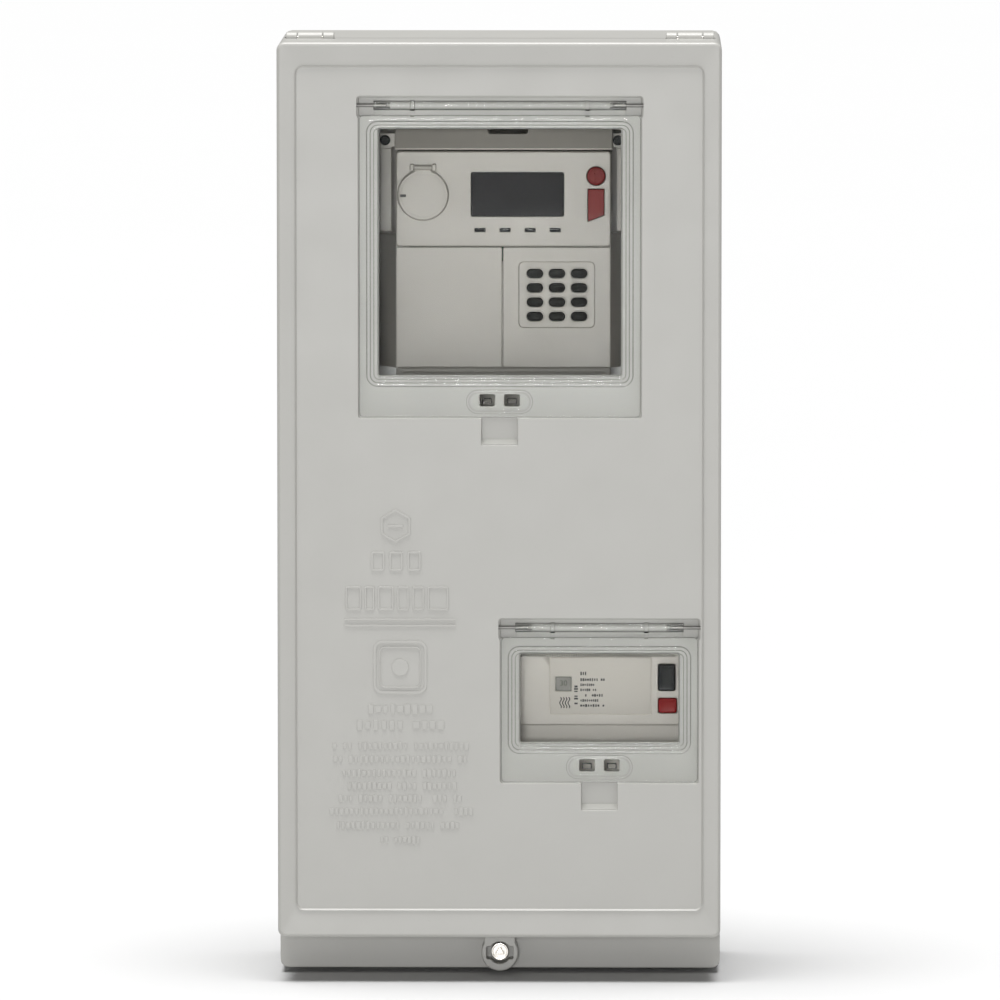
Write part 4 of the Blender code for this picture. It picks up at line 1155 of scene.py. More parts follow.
@dataclass(frozen=True)
class WindowSeat:
    """Sizes and places of one clear window and of its seat in the cover.

    The margins run from the window's outline to the aperture: left, right, bottom, top.
    """

    node: str
    margins: tuple[float, float, float, float]
    rib_offset: float
    latch_shift: float = 0.0
    barrel_radius: float = 2.6 * MM
    axis_drop: float = 4 * MM
    pocket: float = 7.7 * MM
    pin_depth: float = 128.4 * MM
    pin_bore: float = 1.3 * MM

    @property
    def hinge_span(self) -> tuple[float, float]:
        """Give the two ends of the hinge barrel in X."""
        return self.outline.left + self.pocket, self.outline.right - self.pocket

    @property
    def outline(self) -> Rect:
        """Give the window's outline, up to the top of its hinge zone."""
        box = Rect.of_node(self.node)
        return box.trimmed(0, 0, 0, self.barrel_radius - self.axis_drop)

    @property
    def aperture(self) -> Rect:
        """Give the opening in the cover."""
        return self.outline.trimmed(*self.margins)

    @property
    def latch_x(self) -> float:
        """Give the middle of the latch."""
        return self.outline.centre[0] + self.latch_shift

    @property
    def axis_z(self) -> float:
        """Give the height of the hinge."""
        return self.outline.top - self.axis_drop

    @property
    def ridge(self) -> Rect:
        """Give the outline of the raised frame."""
        side, below, above = 6.4 * MM, 5.6 * MM, 4 * MM
        return self.aperture.trimmed(-side, -side, -below, -above)


@dataclass
class Enclosure:
    """The wall box, its cover with two window seats, the seal, the hinges, the lock and the cable entries."""

    finishes: Finishes
    seats: Sequence[WindowSeat]
    wall: float = 3.0 * MM
    edge: float = 2.0 * MM
    corner: float = 4.5 * MM
    panel_margins: tuple[float, float, float, float] = (10.5 * MM, 10.2 * MM, 15.6 * MM, 13.4 * MM)
    panel_step: float = 1.0 * MM
    panel_thickness: float = 2.5 * MM
    hinge_radius: float = 3.5 * MM
    hinge_relief: float = 4.1 * MM
    hinge_depth: float = 90.15 * MM
    hinge_spans: tuple[tuple[float, float], ...] = ((90 * MM, 96 * MM), (96.4 * MM, 109.6 * MM),
                                                    (110 * MM, 116 * MM))
    rebate_gap: float = 0.4 * MM
    rebate_depth: float = 3.5 * MM
    tub_depth: float = 8.5 * MM
    tub_wall: float = 3.0 * MM
    lug_radius: float = 10 * MM
    lug_front: float = 104 * MM
    lug_floor: float = 92.8 * MM
    neck_half: float = 8.5 * MM

    def __post_init__(self) -> None:
        """Read the cover's outline and depths from the frame."""
        low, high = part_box("front_cover")
        self.back = depth_span("base_housing")[1]
        self.cover_back = depth_span("cover_gasket")[0]
        self.front = -low[1]
        self.face = self.front - self.panel_step
        gasket_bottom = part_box("cover_gasket")[0][2]
        self.outline = Rect(low[0], high[0], gasket_bottom - self.wall - 0.3 * MM, high[2] - self.hinge_radius)
        self.lug_z = low[2] + self.lug_radius

    def build(self) -> None:
        """Build every piece of the enclosure."""
        fin = self.finishes
        refine("base_housing", fin.housing, 0.5 * MM)
        refine("cover_gasket", fin.rubber, 0.5 * MM)
        refine("meter_plate", fin.zinc, 0.3 * MM, 2)
        refine("breaker_rail", fin.zinc, 0.25 * MM, 2)
        self.build_cover()
        for side in ("left", "right"):
            node = f"cover_hinge_pin_{side}"
            stand_for(bar(node, node, 0, 0.5 * MM, 24), node, fin.steel)
            self.build_grommet(f"cable_grommet_{side}")
        self.build_lock()
        for wire, finish in (("phase_link_wire", fin.phase), ("neutral_link_wire", fin.neutral)):
            self.build_wire(wire, finish)

    def knuckle(self, side: int, span: tuple[float, float], radius: float) -> Object:
        """Make one stretch of the cover's hinge barrel on the left (-1) or right (+1)."""
        length = span[1] - span[0]
        start = (side * span[0], -self.hinge_depth, self.outline.top)
        return turn("knuckle", rod(radius, length, 0.3 * MM, 3), start, (side, 0, 0), 40)

    def cover_shell(self) -> Object:
        """Make the cover's shell in one skin, from its inner face round the rim to the recessed panel."""
        inner = self.outline.grown(-self.wall).outline(2 * MM)
        outer = self.outline.outline(self.corner)
        lip = 0.3 * MM
        levels = [(offset(inner, -1.5 * MM), self.face - self.panel_thickness),
                  (offset(inner, -0.4 * MM), self.face - self.panel_thickness - 0.4 * MM),
                  (inner, self.face - self.panel_thickness - 1.5 * MM), (inner, self.cover_back + lip),
                  (offset(inner, 0.1 * MM), self.cover_back), (offset(outer, -lip), self.cover_back),
                  (outer, self.cover_back + lip)]
        levels += eased(outer, self.front, self.edge, 8)
        panel = self.outline.trimmed(*self.panel_margins).outline(3.5 * MM)
        rim = 0.7 * MM
        levels += [(offset(panel, rim - side), self.front - (rim - rest))
                   for side, rest in reversed(quarter(rim, 5))]
        foot = 0.3 * MM
        levels += [(offset(panel, -side), self.face + rest) for side, rest in quarter(foot, 4)]
        return stack("front_cover_finished", levels)

    def lug_outline(self) -> Outline:
        """Give the outline of the lock lug: a round end that hangs from the cover on a neck."""
        top = self.outline.bottom + 1.5 * MM
        start = math.acos(self.neck_half / self.lug_radius)
        sweep = math.pi + 2 * start
        arc = [-math.pi - start + sweep * i / 40 for i in range(41)]
        points = [(self.lug_radius * math.cos(a), self.lug_z + self.lug_radius * math.sin(a)) for a in arc]
        return [(-self.neck_half, top)] + points + [(self.neck_half, top)]

    def build_cover(self) -> None:
        """Build the cover with its lug, gasket land, knuckles and window seats."""
        cover = self.cover_shell()
        land_back = self.cover_back + 3.0 * MM
        land = self.outline.grown(-self.wall)
        outer, inner = land.grown(1 * MM).outline(2 * MM), land.grown(-4.2 * MM).outline(3 * MM)
        land_front = land_back + 2.2 * MM
        additions = [stack("land", [(outer, land_back), (outer, land_front), (inner, land_front),
                                    (inner, land_back)], True)]
        additions.append(pad("lug", self.lug_outline(), self.cover_back, self.lug_front, 0.8 * MM))
        for seat in self.seats:
            shell = seat.outline.grown(self.rebate_gap + self.tub_wall).outline(3 * MM)
            notch = self.notch(seat).grown(self.tub_wall)
            back = self.face - self.tub_depth
            inside = self.face - self.panel_thickness + 1 * MM
            additions.append(pad("backing", shell, back, inside, 0.05 * MM, 0.6 * MM))
            additions.append(pad("notch_backing", notch.outline(2 * MM), back, inside, 0.05 * MM, 0.6 * MM))
        carve(cover, additions, Cut.JOIN)
        cutters = []
        for seat in self.seats:
            cutters += self.seat_cutters(seat)
        front = self.lug_front
        cutters.append(hollow(disc(0, self.lug_z, 6 * MM), self.lug_floor, front, 0.7 * MM, 0.3 * MM))
        bar_slot = Rect.around(0, self.lug_z, 14.6 * MM, 7 * MM).outline(0.8 * MM)
        cutters.append(hollow(bar_slot, self.lug_floor + 0.01 * MM, front, 0.5 * MM))
        shank = disc(0, self.lug_z, 2.5 * MM, 32)
        reach = (self.cover_back - 1 * MM, self.lug_floor + 1 * MM)
        cutters.append(stack("shank_hole", [(shank, depth) for depth in reach]))
        inner_span, middle_span, outer_span = self.hinge_spans
        gap = 0.35 * MM
        for side in (-1, 1):
            cutters += [self.knuckle(side, (span[0] - gap, span[1] + gap), self.hinge_relief)
                        for span in (inner_span, outer_span)]
        carve(cover, cutters)
        carve(cover, [self.knuckle(side, middle_span, self.hinge_radius) for side in (-1, 1)], Cut.JOIN)
        reach = (middle_span[0] - 1 * MM, middle_span[1] + 1 * MM)
        carve(cover, [self.knuckle(side, reach, 1.8 * MM) for side in (-1, 1)])
        stand_for(even_shading(cover), "front_cover", self.finishes.housing)

    @staticmethod
    def notch(seat: WindowSeat) -> Rect:
        """Give the outline of the finger notch below a window's latch."""
        half, height, overlap = 9.7 * MM, 15 * MM, 2 * MM
        bottom = seat.outline.bottom
        return Rect(seat.latch_x - half, seat.latch_x + half, bottom - height, bottom + overlap)

    def seat_cutters(self, seat: WindowSeat) -> list[Object]:
        """Make the cutters for one window's seat.

        Args:
            seat: The window.

        Returns:
            Cutters for the rebate, hinge zone, aperture, latch slots, finger notch and pins.
        """
        face, floor = self.face, self.face - self.rebate_depth
        back = face - self.tub_depth - 1 * MM
        rebate = seat.outline.grown(self.rebate_gap)
        zone = Rect(rebate.left, rebate.right, seat.outline.top - 10 * MM, rebate.top)
        cutters = [hollow(rebate.outline(1.6 * MM), floor, face, 0.5 * MM, 0.25 * MM),
                   hollow(zone.outline(1.0 * MM), face - 5.8 * MM, floor, 0.2 * MM, 0.5 * MM),
                   hollow(seat.aperture.outline(1.0 * MM), back, floor, 0.4 * MM)]
        low, high, near, far = 5.8 * MM, 12.6 * MM, 2.6 * MM, 10.8 * MM
        for side in (-1, 1):
            ends = sorted((seat.latch_x + side * near, seat.latch_x + side * far))
            slot = Rect(*ends, seat.outline.bottom + low, seat.outline.bottom + high)
            cutters.append(hollow(slot.outline(1.2 * MM), back, floor, 0.4 * MM))
        notch = self.notch(seat)
        notch_floor, ramp = 126 * MM, 3 * MM
        clear = face + 1 * MM
        profile = [(notch_floor, notch.top), (notch_floor, notch.bottom + ramp),
                   (face + 0.01 * MM, notch.bottom), (clear, notch.bottom - 0.4 * MM), (clear, notch.top)]
        cutters.append(skin("notch", [[Vector((x, -depth, z)) for depth, z in profile]
                                      for x in (notch.left, notch.right)]))
        cutters.append(hollow(notch.outline(0.6 * MM), face - 0.9 * MM, face, 0.6 * MM))
        reach = self.rebate_gap + self.tub_wall + 1 * MM
        start = (seat.outline.left - reach, -seat.pin_depth, seat.axis_z)
        length = seat.outline.right - seat.outline.left + 2 * reach
        cutters.append(turn("pin_bore", [(seat.pin_bore, 0), (seat.pin_bore, length)], start, (1, 0, 0), 24))
        return cutters

    def build_grommet(self, node: str) -> None:
        """Build a rubber bush with a soft flange on both sides of the bottom wall."""
        low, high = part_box(node)
        flange = 0.5 * (high[0] - low[0])
        bore, neck, painted_edge_shade = 9 * MM, 11.7 * MM, 2.5 * MM
        height = high[2] - low[2]
        lip = quarter(1.0 * MM, 4)
        section = [(bore, 0.6 * MM), (bore + 0.6 * MM, 0.0)]
        section += [(flange - side, rest) for side, rest in reversed(lip)]
        section += [(flange, painted_edge_shade), (neck, painted_edge_shade), (neck, height - painted_edge_shade), (flange, height - painted_edge_shade)]
        section += [(flange - side, height - rest) for side, rest in lip]
        section += [(bore + 0.6 * MM, height), (bore, height - 0.6 * MM)]
        stand_for(ring_of(node, section, 56), node, self.finishes.rubber)

    def build_lock(self) -> None:
        """Build the lock screw with its shrouded triangular drive, and the bush that it turns into."""
        low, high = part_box("cover_lock_screw")
        x, z = Rect.of_node("cover_lock_screw").centre
        tip, front = -high[1], -low[1]
        head, shank, socket = 0.5 * (high[0] - low[0]), 1.9 * MM, 3.8 * MM
        under = front - 6 * MM
        profile = [(0.0, tip), (1.3 * MM, tip), (shank - 0.3 * MM, tip + 0.5 * MM)]
        pitch = 0.9 * MM
        for i in range(14):
            start = tip + 0.8 * MM + i * pitch
            profile += [(shank, start + 0.25 * pitch), (shank - 0.35 * MM, start + 0.75 * pitch)]
        profile += [(shank, under - 0.01 * MM), (head - 0.4 * MM, under), (head, under + 0.4 * MM)]
        profile += [(head - side, front - rest) for side, rest in quarter(0.4 * MM, 4)]
        profile += [(socket + side, front - rest) for side, rest in reversed(quarter(0.25 * MM, 3))]
        profile += [(socket, front - 4 * MM), (0.0, front - 4 * MM)]
        screw = turn("lock", profile, (x, 0, z), (0, -1, 0), 64)
        drive = offset(disc(x, z, 3.6 * MM, 3, math.radians(90)), -0.25 * MM)
        rounded_drive = []
        for i in range(3):
            (ax, az), (bx, bz) = drive[i], drive[(i + 1) % 3]
            rounded_drive += [(ax + (bx - ax) * t, az + (bz - az) * t) for t in (0.08, 0.5, 0.92)]
        carve(screw, [pad("drive", rounded_drive, front - 4.5 * MM, front - 0.5 * MM, 0.3 * MM)], Cut.JOIN)
        stand_for(even_shading(screw), "cover_lock_screw", self.finishes.steel)
        low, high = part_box("lock_insert")
        outer, bore = 0.5 * (high[0] - low[0]), 2.9 * MM
        knurls = 40
        back, front = -high[1], -low[1]
        levels = []
        for depth, grip in ((back, 0.3), (back + 0.4 * MM, 0.0), (0.5 * (back + front) - 1 * MM, 0.0),
                            (0.5 * (back + front), 0.5), (0.5 * (back + front) + 1 * MM, 0.0),
                            (front - 0.4 * MM, 0.0), (front, 0.3)):
            ring = disc(x, z, outer - grip * MM, knurls * 2)
            levels.append(([((px - x) * (1 - 0.05 * (i % 2)) + x, (pz - z) * (1 - 0.05 * (i % 2)) + z)
                            for i, (px, pz) in enumerate(ring)], depth))
        levels += [(disc(x, z, bore, knurls * 2), front), (disc(x, z, bore, knurls * 2), back)]
        stand_for(stack("lock_insert", levels, True), "lock_insert", self.finishes.brass)

    @staticmethod
    def build_wire(node: str, finish: Material) -> None:
        """Smooth an insulated link wire."""
        shape = bmesh.new()
        shape.from_mesh(frame["nodes"][node].data)
        bmesh.ops.remove_doubles(shape, verts=shape.verts, dist=0.002 * MM)
        wire = object_from(node, shape, 60)
        smooth = wire.modifiers.new("smooth", "SUBSURF")
        smooth.levels = smooth.render_levels = 1
        stand_for(settle(wire), node, finish)


@dataclass
class ClearWindow:
    """A clear hinged window: plate, double-stepped ridge, hinge barrel, dished latch and snap prongs."""

    finishes: Finishes
    seat: WindowSeat
    plate_top: float = 9.2 * MM
    pane_step: float = 1.0 * MM
    bump_half: float = 18 * MM
    corner_steps: int = 8

    def build(self) -> None:
        """Build the window and its two pins."""
        seat = self.seat
        low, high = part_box(seat.node)
        crest = -low[1]
        front = crest - 1.5 * MM
        back = front - 2.5 * MM
        plate = seat.outline.trimmed(0, 0, 0, self.plate_top)
        window = stack(seat.node, self.glass_levels(plate, back, front, crest))
        carve(window, self.hinge_solids(plate.top, back, front), Cut.JOIN)
        carve(window, self.latch_solids(back, front, -high[1]), Cut.JOIN)
        for end, inward in zip(seat.hinge_span, (1, -1)):
            start = (end - inward * MM, -seat.pin_depth, seat.axis_z)
            bore = [(seat.pin_bore, 0), (seat.pin_bore, 10 * MM)]
            carve(window, [turn("bore", bore, start, (inward, 0, 0), 24)])
        stand_for(even_shading(window), seat.node, self.finishes.clear)
        for side in ("left", "right"):
            node = f"{seat.node}_pin_{side}"
            stand_for(bar(node, node, 0, 0.3 * MM, 24), node, self.finishes.dull_steel)

    def glass_levels(self, plate: Rect, back: float, front: float, crest: float) -> Levels:
        """Give the levels of the plate, its double-stepped ridge and the pane inside it.

        Args:
            plate: Outline of the plate.
            back: Depth of the plate's back.
            front: Depth of the plate's front.
            crest: Depth of the ridge's crest.

        Returns:
            The levels, from the plate's back round to the pane.
        """
        steps = self.corner_steps
        ridge, aperture = self.seat.ridge, self.seat.aperture
        pane = front - self.pane_step

        def bands(shape: Rect, depth: float, *bends: tuple[float, float, float]) -> Levels:
            """Give levels for bends of (growth, corner radius, rise above the depth) in millimetres."""
            return [(shape.grown(growth * MM).outline(corner * MM, steps), depth + rise * MM)
                    for growth, corner, rise in bends]

        def rounded(shape: Rect, depth: float, corner: float, edge: float) -> Levels:
            """Give levels that round a shape over into its front."""
            return [(shape.grown(-s).outline(corner - s, steps), depth - r) for s, r in quarter(edge)]

        return [*bands(plate, back, (-0.25, 2.3, 0), (0, 2.5, 0.25)),
                *rounded(plate, front, 2.5 * MM, 0.8 * MM),
                *bands(ridge, front, (0.7, 6.7, 0), (0.25, 6.2, 0.1), (0, 6, 0.4)),
                *rounded(ridge, crest, 6 * MM, 0.7 * MM),
                *bands(ridge, crest, (-1.5, 4.4, 0), (-1.8, 4.4, -0.1), (-2.2, 3.9, -0.75), (-2.7, 3.6, -0.9),
                       (-3.6, 3.0, -0.95)),
                *bands(ridge, front, (-4.1, 2.6, 0)), *bands(aperture, front, (0.9, 1.6, 0), (0.6, 1.4, -0.12)),
                *bands(aperture, pane, (0.1, 1.2, 0.1), (-0.3, 1.0, 0))]

    def hinge_solids(self, plate_top: float, back: float, front: float) -> list[Object]:
        """Make the web, the barrel with its two collars, and the two ribs.

        Args:
            plate_top: Height of the plate's top edge.
            back: Depth of the plate's back.
            front: Depth of the plate's front.

        Returns:
            The solids to join to the plate.
        """
        seat = self.seat
        left, right = seat.hinge_span
        inset = 0.35 * MM
        web = Rect(left + inset, right - inset, plate_top - 5.1 * MM, seat.axis_z + 0.07 * MM)
        radius, middle = seat.barrel_radius, seat.outline.centre[0]
        half, collar = 1.3 * MM, radius + 0.4 * MM
        shoulder, lean = collar - 0.2 * MM, 0.02 * MM
        collars, ribs = [], []
        for x in (middle - seat.rib_offset, middle + seat.rib_offset):
            start, end = x - half - left, x + half - left
            collars += [(radius, start), (shoulder, start + lean), (collar, start + 0.2 * MM),
                        (collar, end - 0.2 * MM), (shoulder, end - lean), (radius, end)]
            rib = Rect(x - half, x + half, plate_top - 1.27 * MM, seat.axis_z + 0.13 * MM).grown(-0.16 * MM)
            ribs.append(pad("rib", rib.outline(0.4 * MM), back + 0.37 * MM, front + 0.93 * MM, 0.15 * MM))
        profile = rod(radius, right - left, 0.4 * MM, between=collars)
        return [pad("web", web.outline(0.7 * MM), back + 0.1 * MM, front - 0.8 * MM, 0.3 * MM, 0.3 * MM),
                turn("barrel", profile, (left, -seat.pin_depth, seat.axis_z), (1, 0, 0), 40), *ribs]

    def latch_solids(self, back: float, front: float, tip: float) -> list[Object]:
        """Make the dished thumb bump and the two snap prongs.

        Args:
            back: Depth of the plate's back.
            front: Depth of the plate's front.
            tip: Depth of the prongs' tips.

        Returns:
            The solids to join to the plate.
        """
        x, base = self.seat.latch_x, self.seat.outline.bottom
        bump = Rect(x - self.bump_half, x + self.bump_half, base + 2 * MM, base + 15 * MM)
        crest, corner, steps = front + 1 * MM, 6.4 * MM, 10
        bends = [*quarter(0.5 * MM, 4), (1.0 * MM, 0.0), (1.4 * MM, 0.25 * MM), (1.9 * MM, 0.6 * MM),
                 (2.6 * MM, 0.7 * MM)]
        dish = [(bump.outline(corner, steps), front - 1 * MM)]
        dish += [(bump.grown(-s).outline(corner - s, steps), crest - r) for s, r in bends]
        solids = [stack("bump", dish)]
        for side in (-1, 1):
            ends = sorted((x + side * 4 * MM, x + side * 9.4 * MM))
            prong = Rect(*ends, base + 7.4 * MM, base + 10.6 * MM)
            levels = []
            for inset, below, above, rise in ((0.6, 0.2, 1.2, 0), (0.2, 0.7, 0.6, 1.2), (0, 0, 0.3, 1.8)):
                hook = prong.trimmed(inset * MM, inset * MM, -below * MM, above * MM)
                levels.append((hook.outline(0.5 * MM), tip + rise * MM))
            solids.append(stack("prong", levels + [(prong.outline(0.5 * MM), back + 1 * MM)]))
        return solids


@dataclass
class Meter:
    """The prepayment meter: tray, front case, panels, keypad, display, port, plug, and what is inside."""

    finishes: Finishes
    key_columns: int = 3
    key_rows: int = 4
    key_flange: float = 0.6 * MM
    ring_width: float = 0.55 * MM
    ring_depth: float = 1.1 * MM
    recess_margins: tuple[float, float, float, float] = (8.6 * MM, 8.7 * MM, 21.8 * MM, 8.0 * MM)

    def build(self) -> None:
        """Build every piece of the meter."""
        fin = self.finishes
        refine("meter_base", fin.tray, 0.5 * MM)
        self.build_case()
        refine("terminal_cover", fin.meter, 0.5 * MM)
        refine("terminal_block", fin.component, 0.4 * MM)
        refine("lcd_module", fin.black, 0.5 * MM)
        refine("circuit_board", fin.board, 0.15 * MM, 2)
        refine("key_mat", fin.keys, 0.4 * MM)
        refine("load_relay", fin.relay, 0.8 * MM)
        refine("optical_port_plate", fin.steel, 0.2 * MM)
        self.build_panels()
        self.build_keys()
        self.build_lenses()
        self.build_port_cover()
        self.build_plug()
        self.build_screws()
        self.build_insides()

    def key_outline(self, node: str, margin: float = 0.0) -> Outline:
        """Give a key's outline, grown by a margin."""
        box = Rect.of_node(node).grown(margin - self.key_flange)
        return box.outline(0.5 * (box.top - box.bottom), 8)

    def build_case(self) -> None:
        """Round the front case's edges and sink a narrow ring round the port's flap."""
        case = soften(copy_of_node("meter_front_case"), 0.35 * MM)
        low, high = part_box("optical_port_cover")
        front = depth_span("module_cover")[1]
        radius = 0.5 * (high[0] - low[0])
        x, z = 0.5 * (low[0] + high[0]), low[2] + radius
        floor = front - self.ring_depth
        rings = [(disc(x, z, radius + side, 96), depth) for side, depth in (
            (self.ring_width, floor), (self.ring_width, front + 0.1 * MM),
            (-0.6 * MM, front + 0.1 * MM), (-0.6 * MM, floor))]
        carve(case, [stack("ring", rings, True)])
        stand_for(even_shading(case, 50), "meter_front_case", self.finishes.meter)

    def build_panels(self) -> None:
        """Build the plain module cover and the keypad bezel with its recess, key holes and raised rims."""
        back, front = depth_span("module_cover")
        edge, corner = 0.45 * MM, 0.9 * MM
        module = pad("module", Rect.of_node("module_cover").outline(corner), back, front, edge)
        stand_for(even_shading(module), "module_cover", self.finishes.meter)
        box = Rect.of_node("keypad_bezel")
        bezel = pad("bezel", box.outline(corner), back, front, edge)
        recess = box.trimmed(*self.recess_margins)
        floor = front - 0.8 * MM
        cutters = [hollow(recess.outline(2.6 * MM, 8), floor, front, 0.45 * MM, 0.35 * MM)]
        keys = [f"key_{i + 1:02d}" for i in range(self.key_columns * self.key_rows)]
        cutters += [hollow(self.key_outline(key, 0.3 * MM), back - 1 * MM, floor, 0.15 * MM) for key in keys]
        stand_for(even_shading(carve(bezel, cutters)), "keypad_bezel", self.finishes.meter)
        first, last = Rect.of_node(keys[0]), Rect.of_node(keys[-1])
        middle = (0.5 * (first.centre[0] + last.centre[0]), 0.5 * (first.centre[1] + last.centre[1]))
        width, height = last.centre[0] - first.centre[0], first.centre[1] - last.centre[1]
        size = Rect.around(0, 0, first.right - first.left, first.top - first.bottom).grown(-self.key_flange)
        half = 0.5 * (size.top - size.bottom)
        inner = size.grown(0.32 * MM).outline(half + 0.32 * MM, 8)
        outer = size.grown(1.0 * MM).outline(half + 1.0 * MM, 8)
        rim = frame_between("rim", outer, inner, -0.1 * MM, 0.55 * MM, 0.22 * MM)
        rims = KeyRims().grow("key_rims", {"Width": width, "Height": height, "Columns": self.key_columns,
                                           "Rows": self.key_rows, "Rim": rim, "Material": self.finishes.meter})
        bpy.data.objects.remove(rim, do_unlink=True)
        place(even_shading(moved(rims, middle[0], floor, middle[1])), Body.HOUSING.value, "meter_case",
              self.finishes.meter)

    def build_keys(self) -> None:
        """Build the rubber keys, each with a flange behind the bezel and a crowned top."""
        for i in range(self.key_columns * self.key_rows):
            node = f"key_{i + 1:02d}"
            back, front = depth_span(node)
            shoulder = back + 1.6 * MM
            body, flange = self.key_outline(node), self.key_flange
            levels = [(self.key_outline(node, margin), depth) for margin, depth in (
                (flange, back), (flange, shoulder - 0.1 * MM), (flange - 0.1 * MM, shoulder),
                (0.05 * MM, shoulder))]
            levels += [(body, shoulder + 0.05 * MM)] + eased(body, front - 0.25 * MM, 0.6 * MM)
            levels += [(offset(body, -side * MM), front - drop * MM)
                       for side, drop in ((1.2, 0.1), (1.9, 0.02), (2.3, 0.0))]
            stand_for(stack(node, levels), node, self.finishes.keys)

    def build_lenses(self) -> None:
        """Build the display lens, the light pipes, and the slanting red lens."""
        back, front = depth_span("display_lens")
        lens = pad("lens", Rect.of_node("display_lens").outline(0.8 * MM), back, front, 0.25 * MM, 0.1 * MM)
        stand_for(even_shading(lens), "display_lens", self.finishes.lens)
        refine("light_pipe", self.finishes.lens, 0.15 * MM, 2)
        refine("red_lens", self.finishes.faded_red, 0.3 * MM)

    def build_port_cover(self) -> None:
        """Build the round flap: dished disc with a lip, hinge tongue, trunnions and a small mark."""
        low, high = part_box("optical_port_cover")
        radius = 0.5 * (high[0] - low[0])
        x, z = 0.5 * (low[0] + high[0]), low[2] + radius
        back = -high[1]
        front = back + 2 * MM
        levels = [(disc(x, z, radius - 0.2 * MM, 96), back), (disc(x, z, radius, 96), back + 0.2 * MM)]
        bends = [*quarter(0.5 * MM), (1.3 * MM, 0.0), (1.5 * MM, 0.05 * MM), (1.9 * MM, 0.12 * MM),
                 (2.4 * MM, 0.14 * MM)]
        levels += [(disc(x, z, radius - s, 96), front - r) for s, r in bends]
        flap = stack("flap", levels)
        axis_z, axis_depth = z + 15 * MM, 89.2 * MM
        half, bar_radius, pin = 4.6 * MM, 1.4 * MM, 0.6 * MM
        tongue = Rect(x - half, x + half, z + 11 * MM, axis_z)
        waist = [(x - half, tongue.top), (x - half * 0.92, z + 13.4 * MM), (x - half * 1.25, tongue.bottom),
                 (x + half * 1.25, tongue.bottom), (x + half * 0.92, z + 13.4 * MM), (x + half, tongue.top)]
        extras = [pad("tongue", waist, back + 0.5 * MM, front - 0.05 * MM, 0.2 * MM)]
        lip = Rect(x - radius, x - radius + 1.2 * MM, z - 2.2 * MM, z + 2.4 * MM)
        extras.append(pad("lip", lip.outline(0.3 * MM), back + 0.4 * MM, front - 0.2 * MM, 0.2 * MM))
        for reach, r in ((half, bar_radius), (6.6 * MM, pin)):
            bevel = 0.1 * MM
            profile = [(0.0, 0.0), (r - bevel, 0.0), (r, bevel), (r, 2 * reach - bevel), (r - bevel, 2 * reach),
                       (0.0, 2 * reach)]
            extras.append(turn("trunnion", profile, (x - reach, -axis_depth, axis_z), (1, 0, 0), 32))
        carve(flap, extras, Cut.JOIN)
        mark = Rect.around(x - 10.8 * MM, z - 0.3 * MM, 3.4 * MM, 1.7 * MM)
        carve(flap, [hollow(mark.outline(0.3 * MM), front - 0.7 * MM, front - 0.14 * MM, 0.1 * MM)])
        stand_for(even_shading(flap), "optical_port_cover", self.finishes.meter)
        stroke = mark.grown(-0.15 * MM).outline(0.2 * MM)
        place(pad("port_mark", stroke, front - 0.75 * MM, front - 0.5 * MM, 0.04 * MM), Body.PORT_FLAP.value,
              "meter_case", self.finishes.ink)

    def build_plug(self) -> None:
        """Build the red seal plug with its slot and raised rim."""
        low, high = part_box("seal_plug")
        x, z = Rect.of_node("seal_plug").centre
        radius = 0.5 * (high[0] - low[0])
        back, front = -high[1], -low[1]
        levels = [(disc(x, z, radius - 0.3 * MM, 64), back), (disc(x, z, radius, 64), back + 0.3 * MM)]
        bends = [*quarter(0.5 * MM, 4), (1.1 * MM, 0.0), (1.3 * MM, 0.25 * MM)]
        levels += [(disc(x, z, radius - s, 64), front - r) for s, r in bends]
        plug = stack("plug", levels)
        groove = Rect.around(x, z, 1.2 * MM, 7.2 * MM)
        eye = disc(x + 0.1 * MM, z + 1.6 * MM, 0.95 * MM, 24)
        floor = front - 0.4 * MM
        carve(plug, [hollow(groove.outline(0.3 * MM), floor - 0.9 * MM, floor + 0.1 * MM, 0.1 * MM),
                     hollow(eye, floor - 1.2 * MM, floor + 0.1 * MM, 0.1 * MM)])
        stand_for(even_shading(plug), "seal_plug", self.finishes.faded_red)

    def build_screws(self) -> None:
        """Build the two black cross-head screws in the meter's ears."""
        for side in ("left", "right"):
            node = f"ear_screw_{side}"
            low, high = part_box(node)
            x, z = Rect.of_node(node).centre
            head, shank = 0.5 * (high[0] - low[0]), 1.4 * MM
            tip, front = -high[1], -low[1]
            under = front - 2 * MM
            profile = [(0.0, tip), (0.5 * MM, tip + 0.2 * MM)]
            pitch = 1.0 * MM
            for i in range(14):
                profile += [(shank, tip + 1.0 * MM + i * pitch),
                            (shank - 0.35 * MM, tip + 1.5 * MM + i * pitch)]
            profile += [(shank, under), (head, under), (head, under + 0.8 * MM)]
            profile += [(head - side_step, front - rest) for side_step, rest in quarter(0.9 * MM, 6)]
            profile += [(0.0, front)]
            screw = turn(node, profile, (x, 0, z), (0, -1, 0), 48)
            arm, blade = 1.8 * MM, 0.38 * MM
            lean = math.radians(24 if side == "left" else 52)
            for quarter_turn in (0, 1):
                angle = lean + quarter_turn * math.pi / 2
                cosine, sine = math.cos(angle), math.sin(angle)
                cross = [(x + px * cosine - pz * sine, z + px * sine + pz * cosine)
                         for px, pz in ((-arm, -blade), (arm, -blade), (arm, blade), (-arm, blade))]
                carve(screw, [hollow(cross, front - 1.1 * MM, front, 0.08 * MM)])
            stand_for(even_shading(screw), node, self.finishes.black)

